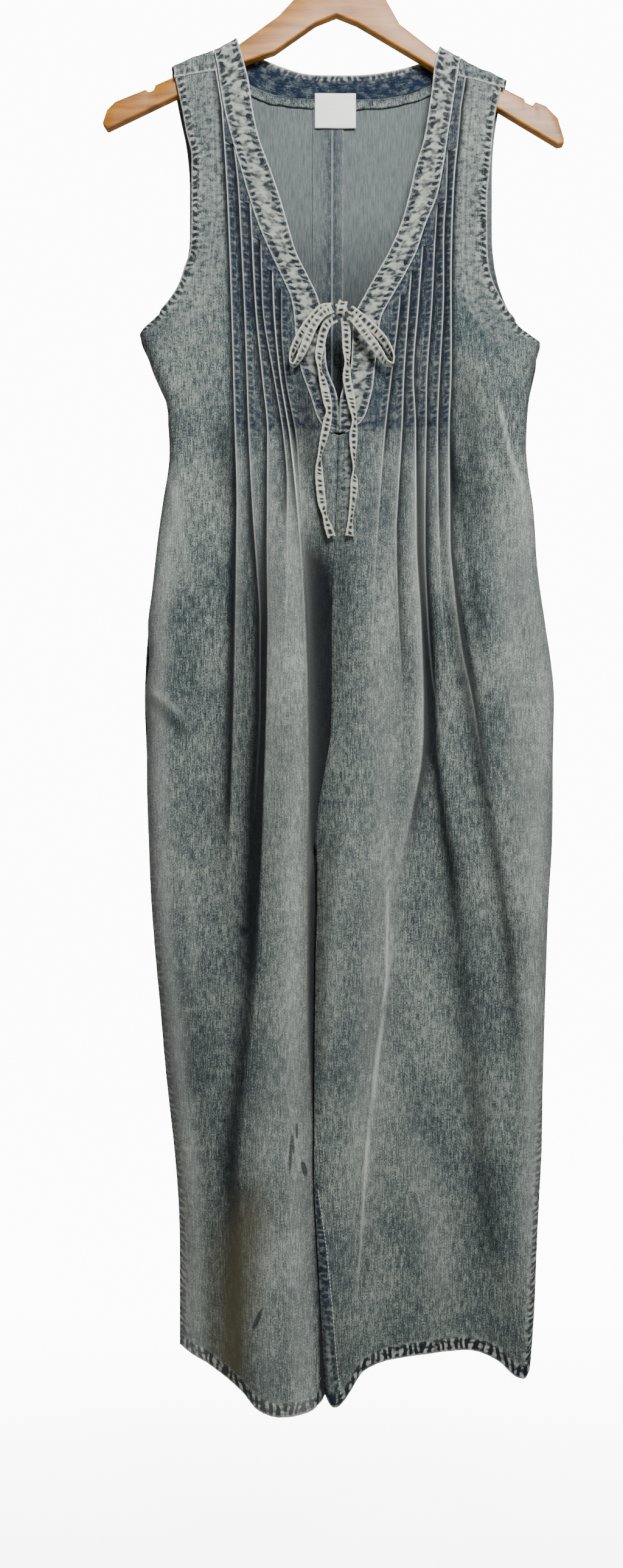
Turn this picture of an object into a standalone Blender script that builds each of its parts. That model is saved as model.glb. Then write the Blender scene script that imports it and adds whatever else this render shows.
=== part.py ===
"""Sleeveless wide-leg denim jumpsuit hanging on a flat wooden hanger.

Metres, +Z up, the front faces -Y, +X to the viewer's right.  The origin is the point
inside the hook where the hanger bears on its rail.  The tables below are millimetres:
"drop" is measured down from that point, "x" across, "forward" towards the viewer.
"""

import math

import bmesh
import bpy
import numpy as np

MM = 0.001
SEAM_HALF = 0.15        # half the gap between two pieces that are sewn together
BAND_CLEAR = 0.5        # gap between the curved neck band and the panels
WALL = 1.5              # denim with its turned edges, as one wall
BAND_WALL = 2.2         # doubled cloth of the neck band
TUCK_RISE = 2.2         # how far a stitched pintuck stands up
TUCK_STEEP = 0.9        # width of a pintuck's open edge
CROTCH_DROP = 919.0     # where the rise seams meet the inseams
LEG_BLEND_FROM = 1212.0  # below this drop the section turns into the hem's
HEM_LEVEL = 1405.0
PLACKET_FOOT = 522.0    # the band's foot, where the centre front seam starts
SLIT_FOOT = 485.0       # below the keyhole slit the two bands are joined
BAND_FORWARD = 0.8      # how far the band stands in front of the panels
BACK_SHOULDER_FORWARD = -10.3
FRONT_SHOULDER_FORWARD = 10.2
ARMHOLE_PULL = 3.5      # the front shoulder runs this much wider than the ridge
ALLOWANCE_FORWARD = -8.4
SIDE_NAMES = {-1: "left", 1: "right"}   # the viewer's left and right

# Outline, viewer's left and right ---------------------------------------------------
# each row: drop, x
ARMHOLE_LEFT = ((170, -157), (181, -154), (228, -145), (252, -140), (304, -140), (339, -141),
                (360, -147), (379, -154), (402, -171), (415, -185), (421, -191))
SIDE_LEFT = ((421, -191), (442, -183), (457, -178), (473, -171), (487, -165), (511, -163),
             (533, -162), (550, -163), (580, -168), (615, -173), (669, -179), (704, -183),
             (734, -182), (772, -186), (804, -184), (845, -184), (916, -182), (964, -180),
             (1018, -176), (1072, -171), (1140, -165), (1202, -158), (1268, -153),
             (1323, -152), (1398, -152))
ARMHOLE_RIGHT = ((183, 159), (195, 156), (218, 152), (261, 148), (296, 145), (330, 145),
                 (365, 148), (381, 154), (402, 166), (418, 180), (431, 198))
SIDE_RIGHT = ((431, 198), (452, 192), (468, 189), (490, 186), (507, 184), (528, 184),
              (563, 187), (589, 191), (615, 192), (655, 196), (704, 203), (737, 208),
              (772, 211), (831, 210), (916, 209), (964, 206), (1045, 203), (1153, 199),
              (1214, 197), (1296, 191), (1363, 186), (1424, 180))
BACK_ARMHOLE_LEFT = ((170, -160), (181, -158), (237, -146), (278, -143), (320, -143),
                     (350, -147), (379, -158), (402, -175), (421, -191))
BACK_ARMHOLE_RIGHT = ((183, 162), (195, 159), (237, 153), (278, 152), (304, 152), (339, 153),
                      (381, 163), (404, 175), (431, 198))

# Neck band and keyhole placket: the outer edge is the seam to the panel
BAND_OUT_LEFT = ((146, -119), (170, -114), (197, -110), (227, -103), (258, -94), (289, -85),
                 (319, -75), (345, -64), (371, -52), (390, -44), (408, -41), (421, -40),
                 (457, -35), (486, -25), (509, -17), (516, -12), (522, -3))
BAND_IN_LEFT = ((134, -97), (158, -90), (177, -85), (205, -81), (233, -75), (258, -66),
                (284, -57), (310, -49), (340, -41), (368, -28), (390, -18), (401, -15),
                (436, -11), (460, -9), (481, -4), (489, 2), (522, 2))
BAND_OUT_RIGHT = ((153, 120), (175, 116), (195, 113), (214, 110), (244, 105), (286, 98),
                  (310, 88), (333, 81), (357, 71), (376, 60), (394, 50), (408, 43),
                  (424, 40), (449, 38), (466, 35), (492, 31), (509, 24), (516, 16), (522, 7))
BAND_IN_RIGHT = ((142, 100), (160, 95), (184, 92), (205, 89), (231, 85), (258, 77), (284, 71),
                 (310, 64), (331, 57), (354, 45), (376, 33), (394, 23), (402, 18), (457, 13),
                 (480, 8), (489, 2), (522, 2))
CENTRE_FRONT = ((522, 2), (538, 1), (572, 0), (615, -2), (700, -5), (740, -5), (805, -6),
                (839, -11), (872, -17), (919, -22))
CENTRE_FRONT_FORWARD = ((400, 18), (522, 24), (620, 23), (700, 20), (780, 16), (840, 12),
                        (880, 7), (919, 1))
CENTRE_BACK = ((190, -4), (700, -5), (840, -11), (919, -22))
INSEAM_LEFT = ((919, -23), (966, -25), (1012, -26), (1150, -25), (1212, -23), (1398, -15))
INSEAM_RIGHT = ((919, -21), (966, -20), (1012, -21), (1150, -22), (1231, -22), (1270, -20),
                (1335, -16), (1400, -12))

# How far the seams and the cloth lie in front of the hanger's middle plane
# each row: drop, forward
SIDE_FORWARD_RIGHT = ((431, 0), (1000, 0), (1212, 12), (1409, 38))
INSEAM_FORWARD_LEFT = ((919, 0), (1400, 0))
INSEAM_FORWARD_RIGHT = ((919, 1), (1012, 6), (1150, 22), (1212, 30), (1400, 54))
FRONT_BELLY = ((150, 10), (262, 12), (345, 15), (420, 19), (520, 24), (620, 27), (700, 28),
               (920, 28), (1150, 30), (1212, 32))
BACK_BELLY = ((150, 10), (262, 11), (420, 14), (520, 17), (700, 21), (920, 22), (1150, 24),
              (1420, 26))

# How a panel's edge rounds out to its plain cloth.  each row: inset from the edge, share
EDGE_ROLL = ((0.0, 0.0), (1.6, 0.5), (5.0, 0.82), (12.0, 1.0))
EDGE_ROLL_WIDTH = EDGE_ROLL[-1][0]
PLAIN_COLUMNS = 3       # columns of plain cloth between the edge and the first tuck
FOOT_ROOM = 0.45        # a fold's foot takes at most this share of the room to the next

# Levels at which each section of the cloth is worked out
FRONT_DROPS = (205, 235, 262, 290, 318, 345, 368, 390, 408, 421, 436, 457, 486, 509, 517,
               520.5, 523, 540, 575, 620, 665, 710, 755, 790, 832, 872, 905, 922, 960, 1012, 1075, 1145,
               1212, 1262, 1312, 1357)
BACK_DROPS = (205, 237, 278, 320, 360, 385, 405, 424, 445, 486, 533, 590, 650, 710, 775, 832,
              872, 905, 922, 960, 1012, 1075, 1145, 1212, 1262, 1312, 1357)

# Folds of the front, from the side towards the centre.  Each has the tuck's start, where
# its edge runs (drop, x), how far it rises over the cloth (drop, rise), and its step down
# on the outer side (drop, step).  The tucks are sewn down to drop 520, and below it they
# go on as loose folds.
FOLDS_LEFT = (
    dict(name="a", start=175,
         x=((183, -112), (240, -108), (290, -105), (362, -102), (520, -97), (586, -95),
            (766, -97), (850, -99), (1012, -106), (1212, -120)),
         rise=((520, 0), (580, 3), (640, 5), (780, 4), (860, 2), (1000, 0)),
         step=((520, 2.2), (580, 4), (700, 5), (780, 4), (920, 1), (1000, 0))),
    dict(name="b", start=240,
         x=((240, -99), (276, -95), (328, -92), (409, -88), (520, -84), (594, -80),
            (649, -76), (700, -73), (780, -73), (862, -77), (1012, -87), (1212, -105)),
         rise=((520, 0), (580, 1), (700, -3), (860, -3), (920, -1), (1212, 0)),
         step=((520, 2.2), (580, 3), (640, 1), (700, 0))),
    dict(name="c", start=296,
         x=((289, -84), (319, -82), (362, -80), (409, -77), (468, -71), (523, -66),
            (631, -66), (700, -65), (779, -66), (858, -68), (919, -70), (1054, -76),
            (1159, -86), (1212, -91)),
         rise=((520, 0), (580, 5), (620, 8), (700, 10), (920, 11), (1150, 14), (1212, 16)),
         step=((520, 2.2), (620, 6), (700, 8), (1010, 9), (1212, 11))),
    dict(name="d", start=334,
         x=((326, -73), (371, -72), (409, -70), (468, -60), (523, -51), (573, -47),
            (1050, -54), (1212, -62)),
         rise=((520, 0), (580, 8), (620, 12), (780, 15), (920, 17), (1010, 20), (1212, 34)),
         step=((520, 2.2), (580, 2.5), (620, 0.5), (700, 0))),
    dict(name="e", start=364,
         x=((356, -62), (409, -60), (468, -54), (523, -45), (611, -36), (700, -31),
            (858, -28), (919, -30), (1041, -30), (1146, -28), (1212, -27)),
         rise=((520, 0), (580, 6), (620, 10), (700, 13), (860, 17), (1010, 22), (1212, 30)),
         step=((520, 2.2), (580, 2), (640, 0.5), (700, 0))),
    dict(name="f", start=380,
         x=((371, -53), (409, -53), (468, -49), (523, -39), (573, -35), (640, -31),
            (700, -27), (780, -25.5), (858, -24.5), (900, -26), (960, -27.5), (1041, -27.6),
            (1146, -26.2), (1212, -25)),
         rise=((520, 0), (600, -1), (660, -8), (780, -12), (920, -16), (1212, -18)),
         step=((520, 2.2), (580, 0))),
)
FOLDS_RIGHT = (
    dict(name="a", start=188,
         x=((182, 121), (231, 117), (272, 113), (345, 110), (466, 109), (518, 107), (620, 107),
            (673, 111), (726, 118), (779, 129), (832, 138), (872, 148), (919, 156),
            (1001, 165), (1212, 160)),
         rise=((520, 0), (580, 4), (673, 6), (779, 6), (872, 5), (1001, 2), (1212, 1)),
         step=((520, 2.2), (580, 3), (700, 3), (860, 2), (1001, 0))),
    dict(name="b", start=246,
         x=((233, 107), (293, 105), (319, 103), (397, 102), (466, 98), (518, 96), (620, 97),
            (700, 101), (779, 110), (858, 119), (1001, 119), (1212, 112)),
         rise=((520, 0), (620, 0), (700, -1), (779, -3), (858, -5), (1001, -4), (1212, -1)),
         step=((520, 2.2), (580, 2), (660, 0))),
    dict(name="c", start=298,
         x=((289, 97), (338, 94), (397, 91), (466, 86), (518, 85), (620, 84), (686, 86),
            (753, 91), (792, 97), (840, 100), (919, 94), (1212, 84)),
         rise=((520, 0), (620, -2), (700, -3), (790, -3), (858, -2), (930, 0)),
         step=((520, 2.2), (580, 1), (660, 0))),
    dict(name="d", start=338,
         x=((333, 83), (397, 78), (466, 73), (518, 75), (620, 75), (700, 79), (779, 81),
            (832, 79), (872, 72), (919, 62), (975, 51), (1041, 47), (1080, 40), (1133, 33),
            (1212, 27)),
         rise=((520, 0), (580, 5), (620, 7), (860, 8), (1212, 7)),
         step=((520, 2.2), (580, 4), (700, 5), (840, 3), (919, 1), (960, 0))),
    dict(name="e", start=364,
         x=((357, 72), (397, 69), (466, 64), (518, 62), (580, 58), (620, 56), (700, 58),
            (763, 61), (832, 58), (872, 50), (919, 38), (1010, 24), (1150, 14), (1212, 9)),
         rise=((520, 0), (580, 2), (700, 4), (780, 3), (860, 2), (1212, 2)),
         step=((520, 2.2), (580, 2), (700, 1.5), (780, 0))),
    dict(name="f", start=386,
         x=((380, 61), (397, 60), (466, 52), (518, 46), (620, 38), (700, 34), (780, 30),
            (860, 18), (919, 4), (1010, -6), (1150, -12), (1212, -13)),
         rise=((520, 0), (580, 2), (700, 2), (860, 2), (1212, 2)),
         step=((520, 2.2), (580, 0))),
)
TUCK_END_DROP = 520.0
STEEP_WIDTHS = ((520, TUCK_STEEP), (700, 3), (1000, 5), (1212, 7))

# Hems, each row: x, drop, forward
HEM_FRONT_LEFT = ((-152, 1398, 0), (-143, 1400, 14), (-126, 1406, 27), (-108, 1412, 45),
                  (-91, 1421, 62), (-79, 1430, 75), (-57, 1434, 85), (-38, 1432, 82),
                  (-26, 1430, 68), (-18, 1425, 42), (-15, 1419, 0))
HEM_FRONT_RIGHT = ((-12, 1425, 54), (-7, 1433, 60), (-1, 1436, 58), (6, 1433, 50),
                   (13, 1427, 40), (23, 1415, 30), (36, 1410, 22), (58, 1407, 14),
                   (81, 1405, 10), (112, 1402, 8), (126, 1401, 9), (140, 1403, 13),
                   (154, 1407, 24), (165, 1413, 40), (174, 1414, 46), (180, 1409, 38))
HEM_BACK_LEFT = ((-152, 1398, 0), (-138, 1399, -16), (-84, 1402, -26), (-30, 1408, -20),
                 (-15, 1419, 0))
HEM_BACK_RIGHT = ((-12, 1425, 54), (-3, 1420, 32), (20, 1408, -4), (80, 1403, -24),
                  (140, 1403, -20), (170, 1406, 8), (180, 1409, 38))

# Back folds, each row: share of the way from side to centre, rise at the hips
BACK_FOLDS = ((0.10, 0.0), (0.22, 3.5), (0.34, -2.0), (0.47, 5.0), (0.60, -1.5), (0.72, 4.0),
              (0.86, -1.0))
BACK_FOLD_GROWTH = ((300, 0.0), (520, 0.15), (700, 0.7), (900, 1.0), (1212, 1.4))
CENTRE_BACK_FORWARD = ((190, -10), (520, -16), (700, -18), (790, -15), (850, -10), (890, -4.5),
                       (919, -1))
# each row: x, drop
BACK_TOP_LEFT = ((-160, 175), (-140, 166), (-122, 159), (-112, 158.5), (-100, 165),
                 (-88, 175), (-65, 185), (-41, 189), (-4, 191))
BACK_TOP_RIGHT = ((-4, 191), (45, 190), (73, 185), (92, 178), (106, 167), (112, 165), (123, 167),
                  (132, 174), (146, 179), (166, 188))

# Back neck band, each row: upper edge x and drop, lower edge x and drop, forward
BACK_BAND = ((-97, 134, -119, 146, -1.0), (-94.5, 135.5, -115.5, 148, -6.6),
             (-91, 138, -109, 155, -10.0), (-84, 142, -100, 163, -11.0),
             (-75, 147, -88, 173, -11.3), (-50, 157, -65, 183, -11.3),
             (-27, 163, -35, 187, -11.3), (3, 164, -2, 189, -11.3), (33, 163, 40, 188, -11.3),
             (62, 158, 70, 183, -11.3), (80, 153, 90, 176, -11.3), (88, 149, 101, 168, -11.0),
             (94, 145.5, 110, 161, -10.0), (97.5, 143.5, 116.5, 155, -6.6),
             (100, 142, 120, 153, -1.0))
ALLOWANCE_HEIGHT = 9.0
# cloth over the hanger's arm, each row: drop below the ridge, forward
SADDLE = ((6.0, 9.8), (1.4, 6.6), (0.0, 0.0), (1.4, -6.6), (6.0, -9.8), (11.0, -10.2))
BAND_SADDLE = ((0.0, 0.2), (1.4, 6.6), (6.0, 10.2))
# each row: x, drop
RIDGE = ((-160, 162), (-140, 153), (-119, 146), (-97, 134), (100, 142), (120, 153),
         (132, 161), (146, 166), (166, 175))
SHOULDER_SEAM_LEFT = ((-157, 176), (-119, 169))
SHOULDER_SEAM_RIGHT = ((118, 174), (161, 186))

# Ties: each row x, drop, forward, and how far the tape is turned on its edge in degrees
KNOT = dict(x=4.5, drop=403.0, forward=27.0, size=(13.0, 9.0, 15.0))
TIE_WIDTH = 8.5
TIE_THICK = 1.6
TIE_SECTION_STEP = 4.5
LOOP_LEFT = ((-4, 402, 27.5, 0), (-13, 403, 27.5, 10), (-22, 411, 27.5, 20),
             (-32, 424, 28, 30), (-39.5, 438, 28.5, 45), (-44, 450, 29.5, 75),
             (-44.5, 456, 31, 90), (-41, 458.5, 32.5, 100), (-37, 454, 33.5, 120),
             (-32, 444, 34, 150), (-27, 432, 34, 170), (-21, 419, 33.5, 180),
             (-13, 409, 32.5, 180), (-4.5, 404.5, 31.5, 180))
LOOP_RIGHT = ((12.8, 404, 27, 0), (21, 410, 27, 0), (29, 417, 27, -10), (37, 425, 28, -20),
              (44, 433, 28.5, -35), (50, 443, 29, -55), (53.5, 452, 30.5, -80),
              (52, 458, 32.5, -95), (47, 457, 34, -120), (41, 449, 34.5, -150),
              (34.5, 439, 34.5, -170), (27, 429, 34, -180), (19.5, 419, 33, -180),
              (13.5, 411, 32, -180))
TAIL_LEFT = ((-1, 412.5, 28, 0), (-9, 417.5, 27, 0), (-13, 426, 26.5, 0),
             (-15.5, 438, 26.5, 10), (-17.3, 450, 27, 40), (-16.4, 461, 27.5, 70),
             (-13, 474, 28, 30), (-9.5, 490, 28.5, 10), (-7.6, 502, 29, 50),
             (-9.5, 513, 29.5, 20), (-13, 529, 30, 40), (-16.4, 544, 30, 70),
             (-17, 558, 30, 30), (-16, 573, 29.5, 10), (-14.3, 588, 29.5, 20),
             (-11.4, 601, 29.5, 60), (-8.5, 611, 29.5, 30), (-5, 621, 29, 10))
TAIL_RIGHT = ((7.5, 412.5, 28, 0), (8.7, 424, 26.5, 0), (9.2, 440, 26.5, 20),
              (9.6, 455, 27, 60), (9.4, 468, 27.5, 20), (12, 483, 28, 0),
              (14.7, 496.5, 28.5, 30), (16.7, 511, 29.5, 60), (15.6, 526, 30, 20),
              (15.6, 540, 30.5, 50), (16.3, 556, 31, 80), (16.3, 572, 30, 30),
              (15, 588, 30, 50), (13, 604, 30, 60), (11.8, 620, 29.5, 20))
LEAD_LEFT = ((-17, 402.5, 22.3, 0), (-12, 402, 22.8, 0), (-8, 401.8, 23.2, 0),
             (-4, 401.5, 23.3, 0))
LEAD_RIGHT = ((19, 407, 22.3, 0), (17, 405.5, 23, 0), (15, 404.5, 23.5, 0),
              (12.6, 403.5, 23.5, 0))

LABEL = dict(x=-1.0, width=40.0, top=183.0, foot=217.0, forward=-5.8, thick=1.2)

HANGER_THICK = 11.0
# each row: x, drop, along the hanger's upper and lower edges
HANGER_TOP = ((-226, 216), (-222, 204), (-214, 196), (-157, 172), (-119, 154), (-96, 142),
              (-56, 113), (-41, 97), (-20, 82), (0, 75), (20, 80), (47, 96), (61, 121),
              (97, 149), (120, 161), (163, 184), (182, 194), (202, 200), (214, 212), (220, 232))
HANGER_UNDER = ((-223, 224), (-153, 190), (-104, 164), (-84, 156), (-60, 148), (-20, 120),
                (0, 112), (20, 120), (79, 155), (159, 205), (214, 238))
HOOK_WIRE = 3.6
HOOK_RADIUS = 21.0      # to the middle of the wire
HOOK_START, HOOK_TURN, HOOK_STEPS = 200, 13, 19   # degrees, degrees a step, points
HOOK_SHANK = ((9.0, 39.5), (3.0, 47.0), (0.4, 54.0), (0.0, 62.0), (0.0, 74.4))


def clear_scene():
    for thing in list(bpy.data.objects):
        bpy.data.objects.remove(thing, do_unlink=True)


def along(table, where, column=1):
    """Smooth curve through a table's rows, read at one or many places."""
    rows = np.asarray(table, dtype=float)
    key, value = rows[:, 0], rows[:, column]
    where = np.clip(np.asarray(where, dtype=float), key[0], key[-1])
    slopes = np.diff(value) / np.diff(key)
    tangent = np.concatenate(([slopes[0]], (slopes[:-1] + slopes[1:]) / 2, [slopes[-1]]))
    turning = np.concatenate(([False], slopes[:-1] * slopes[1:] <= 0, [False]))
    tangent[turning] = 0.0
    limit = 3 * np.minimum(np.abs(np.append(slopes, slopes[-1])),
                           np.abs(np.insert(slopes, 0, slopes[0])))
    tangent = np.sign(tangent) * np.minimum(np.abs(tangent), limit)
    index = np.clip(np.searchsorted(key, where, side="right") - 1, 0, len(slopes) - 1)
    span = key[index + 1] - key[index]
    t = (where - key[index]) / span
    return ((2 * t**3 - 3 * t**2 + 1) * value[index] + (t**3 - 2 * t**2 + t) * span * tangent[index]
            + (3 * t**2 - 2 * t**3) * value[index + 1] + (t**3 - t**2) * span * tangent[index + 1])


def straight(table, where, column=1):
    rows = np.asarray(table, dtype=float)
    return np.interp(where, rows[:, 0], rows[:, column])


def to_world(x, drop, forward):
    """Millimetre tables to metres: drop goes down, forward comes out along -Y."""
    return np.stack(np.broadcast_arrays(x, -np.asarray(forward, dtype=float),
                                        -np.asarray(drop, dtype=float)), axis=-1) * MM


def fabric_material(name, colour, roughness=0.9, metallic=0.0):
    material = bpy.data.materials.new(name)
    material.use_nodes = True
    shader = material.node_tree.nodes["Principled BSDF"]
    shader.inputs["Base Color"].default_value = (*colour, 1.0)
    shader.inputs["Roughness"].default_value = roughness
    shader.inputs["Metallic"].default_value = metallic
    return material


def add_object(name, mesh, collection, material):
    piece = bpy.data.objects.new(name, mesh)
    mesh.materials.append(material)
    collection.objects.link(piece)
    return piece


def grid_normals(grid):
    """Unit normals of a grid of points, from the faces round each point."""
    diagonal_a = grid[1:, 1:] - grid[:-1, :-1]
    diagonal_b = grid[1:, :-1] - grid[:-1, 1:]
    face = np.cross(diagonal_a, diagonal_b)
    face /= np.maximum(np.linalg.norm(face, axis=2, keepdims=True), 1e-12)
    normal = np.zeros_like(grid)
    normal[:-1, :-1] += face
    normal[1:, :-1] += face
    normal[:-1, 1:] += face
    normal[1:, 1:] += face
    return normal / np.maximum(np.linalg.norm(normal, axis=2, keepdims=True), 1e-12)


def cloth_wall(name, outer, inner, collection, material):
    """A closed wall between two grids of sections, joined round their rims."""
    rows, columns = outer.shape[:2]
    mesh = bmesh.new()
    sheets = [[[mesh.verts.new(point) for point in row] for row in grid]
              for grid in (outer, inner)]
    front, back = sheets
    for r in range(rows - 1):
        for c in range(columns - 1):
            for sheet in sheets:
                a, b = sheet[r][c], sheet[r + 1][c]
                d, e = sheet[r][c + 1], sheet[r + 1][c + 1]
                mesh.faces.new((a, b, d))
                mesh.faces.new((d, b, e))
    rim = ([(r, 0) for r in range(rows)] + [(rows - 1, c) for c in range(1, columns)]
           + [(r, columns - 1) for r in range(rows - 2, -1, -1)]
           + [(0, c) for c in range(columns - 2, 0, -1)])
    for (r0, c0), (r1, c1) in zip(rim, rim[1:] + rim[:1]):
        mesh.faces.new((front[r1][c1], front[r0][c0], back[r0][c0], back[r1][c1]))
    bmesh.ops.recalc_face_normals(mesh, faces=mesh.faces)
    data = bpy.data.meshes.new(name)
    mesh.to_mesh(data)
    mesh.free()
    return add_object(name, data, collection, material)


def side_outline(armhole, side, drop):
    """Armhole edge down to the underarm, then the side seam."""
    underarm = side[0][0]
    return np.where(drop < underarm, along(armhole, drop), along(side, drop))


def turn_into_hem(x, level, forward, drops, side_x, centre_x, hem, left):
    """Below the knee the sections turn gradually into the hem, which is added last."""
    start = drops.tolist().index(LEG_BLEND_FROM)
    spread = (x[start] - x[start][0]) / (x[start][-1] - x[start][0])
    ends = (hem[0][0], hem[-1][0]) if left else (hem[-1][0], hem[0][0])
    hem_x = ends[0] + (ends[1] - ends[0]) * spread
    hem_level, hem_forward = along(hem, hem_x, 1), along(hem, hem_x, 2)
    base_x, base_forward = x[start].copy(), forward[start].copy()
    for r in range(start + 1, len(drops)):
        t = (drops[r] - LEG_BLEND_FROM) / (HEM_LEVEL - LEG_BLEND_FROM)
        mixed = base_x + (hem_x - base_x) * t
        x[r] = side_x[r] + (mixed - mixed[0]) * (
            (centre_x[r] - side_x[r]) / (mixed[-1] - mixed[0]))
        forward[r] = base_forward + (hem_forward - base_forward) * t * t * (3 - 2 * t)
        level[r] = LEG_BLEND_FROM + (hem_level - LEG_BLEND_FROM) * t
    return (np.vstack([x, hem_x]), np.vstack([level, hem_level]),
            np.vstack([forward, hem_forward]))


def front_panel(hand):
    """One front, shoulder to hem: armhole and side on one edge, neck, rise and inseam on
    the other.  hand is -1 for the viewer's left and +1 for the right."""
    left = hand < 0
    armhole, side = (ARMHOLE_LEFT, SIDE_LEFT) if left else (ARMHOLE_RIGHT, SIDE_RIGHT)
    band, folds = (BAND_OUT_LEFT, FOLDS_LEFT) if left else (BAND_OUT_RIGHT, FOLDS_RIGHT)
    inseam = INSEAM_LEFT if left else INSEAM_RIGHT
    inseam_forward = INSEAM_FORWARD_LEFT if left else INSEAM_FORWARD_RIGHT
    side_forward = ((0, 0), (1500, 0)) if left else SIDE_FORWARD_RIGHT
    hem = HEM_FRONT_LEFT if left else HEM_FRONT_RIGHT
    seam_line = SHOULDER_SEAM_LEFT if left else SHOULDER_SEAM_RIGHT
    underarm = side[0][0]
    drops = np.array(FRONT_DROPS, dtype=float)

    side_x = side_outline(armhole, side, drops)
    centre_x = np.where(drops < PLACKET_FOOT, along(band, drops),
                        np.where(drops < CROTCH_DROP, along(CENTRE_FRONT, drops),
                                 along(inseam, drops)))
    centre_x = centre_x + hand * np.where(drops <= PLACKET_FOOT, BAND_CLEAR, SEAM_HALF)
    belly = along(FRONT_BELLY, drops)
    centre_f = np.where(drops < PLACKET_FOOT, belly,
                        np.where(drops < CROTCH_DROP, along(CENTRE_FRONT_FORWARD, drops),
                                 along(inseam_forward, drops)))
    edge_f = np.where(drops < underarm - 20, belly * 0.8,
                      np.where(drops < underarm, belly * 0.35, along(side_forward, drops)))

    # columns from the side to the centre: x, forward of the plain cloth, rise of a tuck
    columns = []
    for offset, share in EDGE_ROLL:
        columns.append((side_x - hand * offset, edge_f + (belly - edge_f) * share, 0 * drops))
    first = folds[0]
    first_x = along(first["x"], drops)
    inner_x = side_x - hand * EDGE_ROLL_WIDTH
    for k in range(1, PLAIN_COLUMNS + 1):
        t = k / (PLAIN_COLUMNS + 1)
        columns.append((inner_x + (first_x - inner_x) * t, belly, 0 * drops))
    steep = straight(STEEP_WIDTHS, drops)
    last_x = inner_x + (first_x - inner_x) * (PLAIN_COLUMNS / (PLAIN_COLUMNS + 1))
    for number, fold in enumerate(folds):
        x = along(fold["x"], drops)
        rise = np.where(drops <= TUCK_END_DROP, 0.0, along(fold["rise"], drops))
        step = np.where(drops <= TUCK_END_DROP, TUCK_RISE, along(fold["step"], drops))
        live = drops >= fold["start"]
        left_over = len(folds) - number
        waiting = centre_x + (last_x - centre_x) * (left_over / (left_over + 1))
        x = np.where(live, x, waiting)
        room = np.abs(last_x - x) * FOOT_ROOM
        foot_x = x + hand * np.where(live, np.minimum(steep, room), room)
        tucked = np.where(live & (drops <= TUCK_END_DROP), step, 0.0)
        loose = np.where(live & (drops > TUCK_END_DROP), step, 0.0)
        columns.append((foot_x, belly + np.where(live, rise, 0) - loose, 0 * drops))
        columns.append((x, belly + np.where(live, rise, 0), tucked))
        last_x = x
    columns.append(((last_x + centre_x) / 2, (columns[-1][1] + centre_f) / 2, 0 * drops))
    columns.append((centre_x, centre_f, 0 * drops))

    x = np.stack([c[0] for c in columns], axis=1)
    forward = np.stack([c[1] for c in columns], axis=1)
    tuck = np.stack([c[2] for c in columns], axis=1)
    level = np.repeat(drops[:, None], x.shape[1], axis=1)

    # shoulder seam on top, hem at the foot
    top_side = along(armhole, straight(seam_line, x[0][0]))
    top_centre = along(band, straight(seam_line, x[0][-1])) + hand * BAND_CLEAR
    top_x = top_side + (x[0] - x[0][0]) * (top_centre - top_side) / (x[0][-1] - x[0][0])
    top_level = straight(seam_line, top_x)
    top_forward = np.full_like(top_x, belly[0] * 0.98)
    x, level, forward = turn_into_hem(x, level, forward, drops, side_x, centre_x, hem, left)
    x = np.vstack([top_x, x])
    level = np.vstack([top_level, level])
    forward = np.vstack([top_forward, forward])
    tuck = np.vstack([tuck[0], tuck, 0 * tuck[0]])

    base = to_world(x, level, forward)
    return base, grid_normals(base) * hand, tuck


def close_seams(base, outer, inner, hand, facing):
    """Rims: flush with the other half at the rise seam, with the other side at the side
    seam and inseam.  facing is -1 for a front, which looks along -Y, and +1 for a back."""
    levels = -base[..., 2] / MM
    on_rise = levels[:, -1] < CROTCH_DROP
    inner[on_rise, -1] = outer[on_rise, -1] - np.array((0, facing * WALL * MM, 0))
    underarm = SIDE_LEFT[0][0] if hand < 0 else SIDE_RIGHT[0][0]
    for rows, column, inward in ((levels[:, 0] > underarm - 4, 0, -hand),
                                 (~on_rise, -1, hand)):
        outer[rows, column, 1] += facing * SEAM_HALF * MM
        inner[rows, column] = outer[rows, column] + np.array((inward * WALL * MM, 0, 0))


def build_front(hand, collection, material):
    base, normals, tuck = front_panel(hand)
    outer = base.copy()
    outer[..., 1] -= tuck * MM
    inner = base - normals * WALL * MM
    close_seams(base, outer, inner, hand, -1)
    return cloth_wall("front_" + SIDE_NAMES[hand], outer, inner, collection, material)


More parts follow.
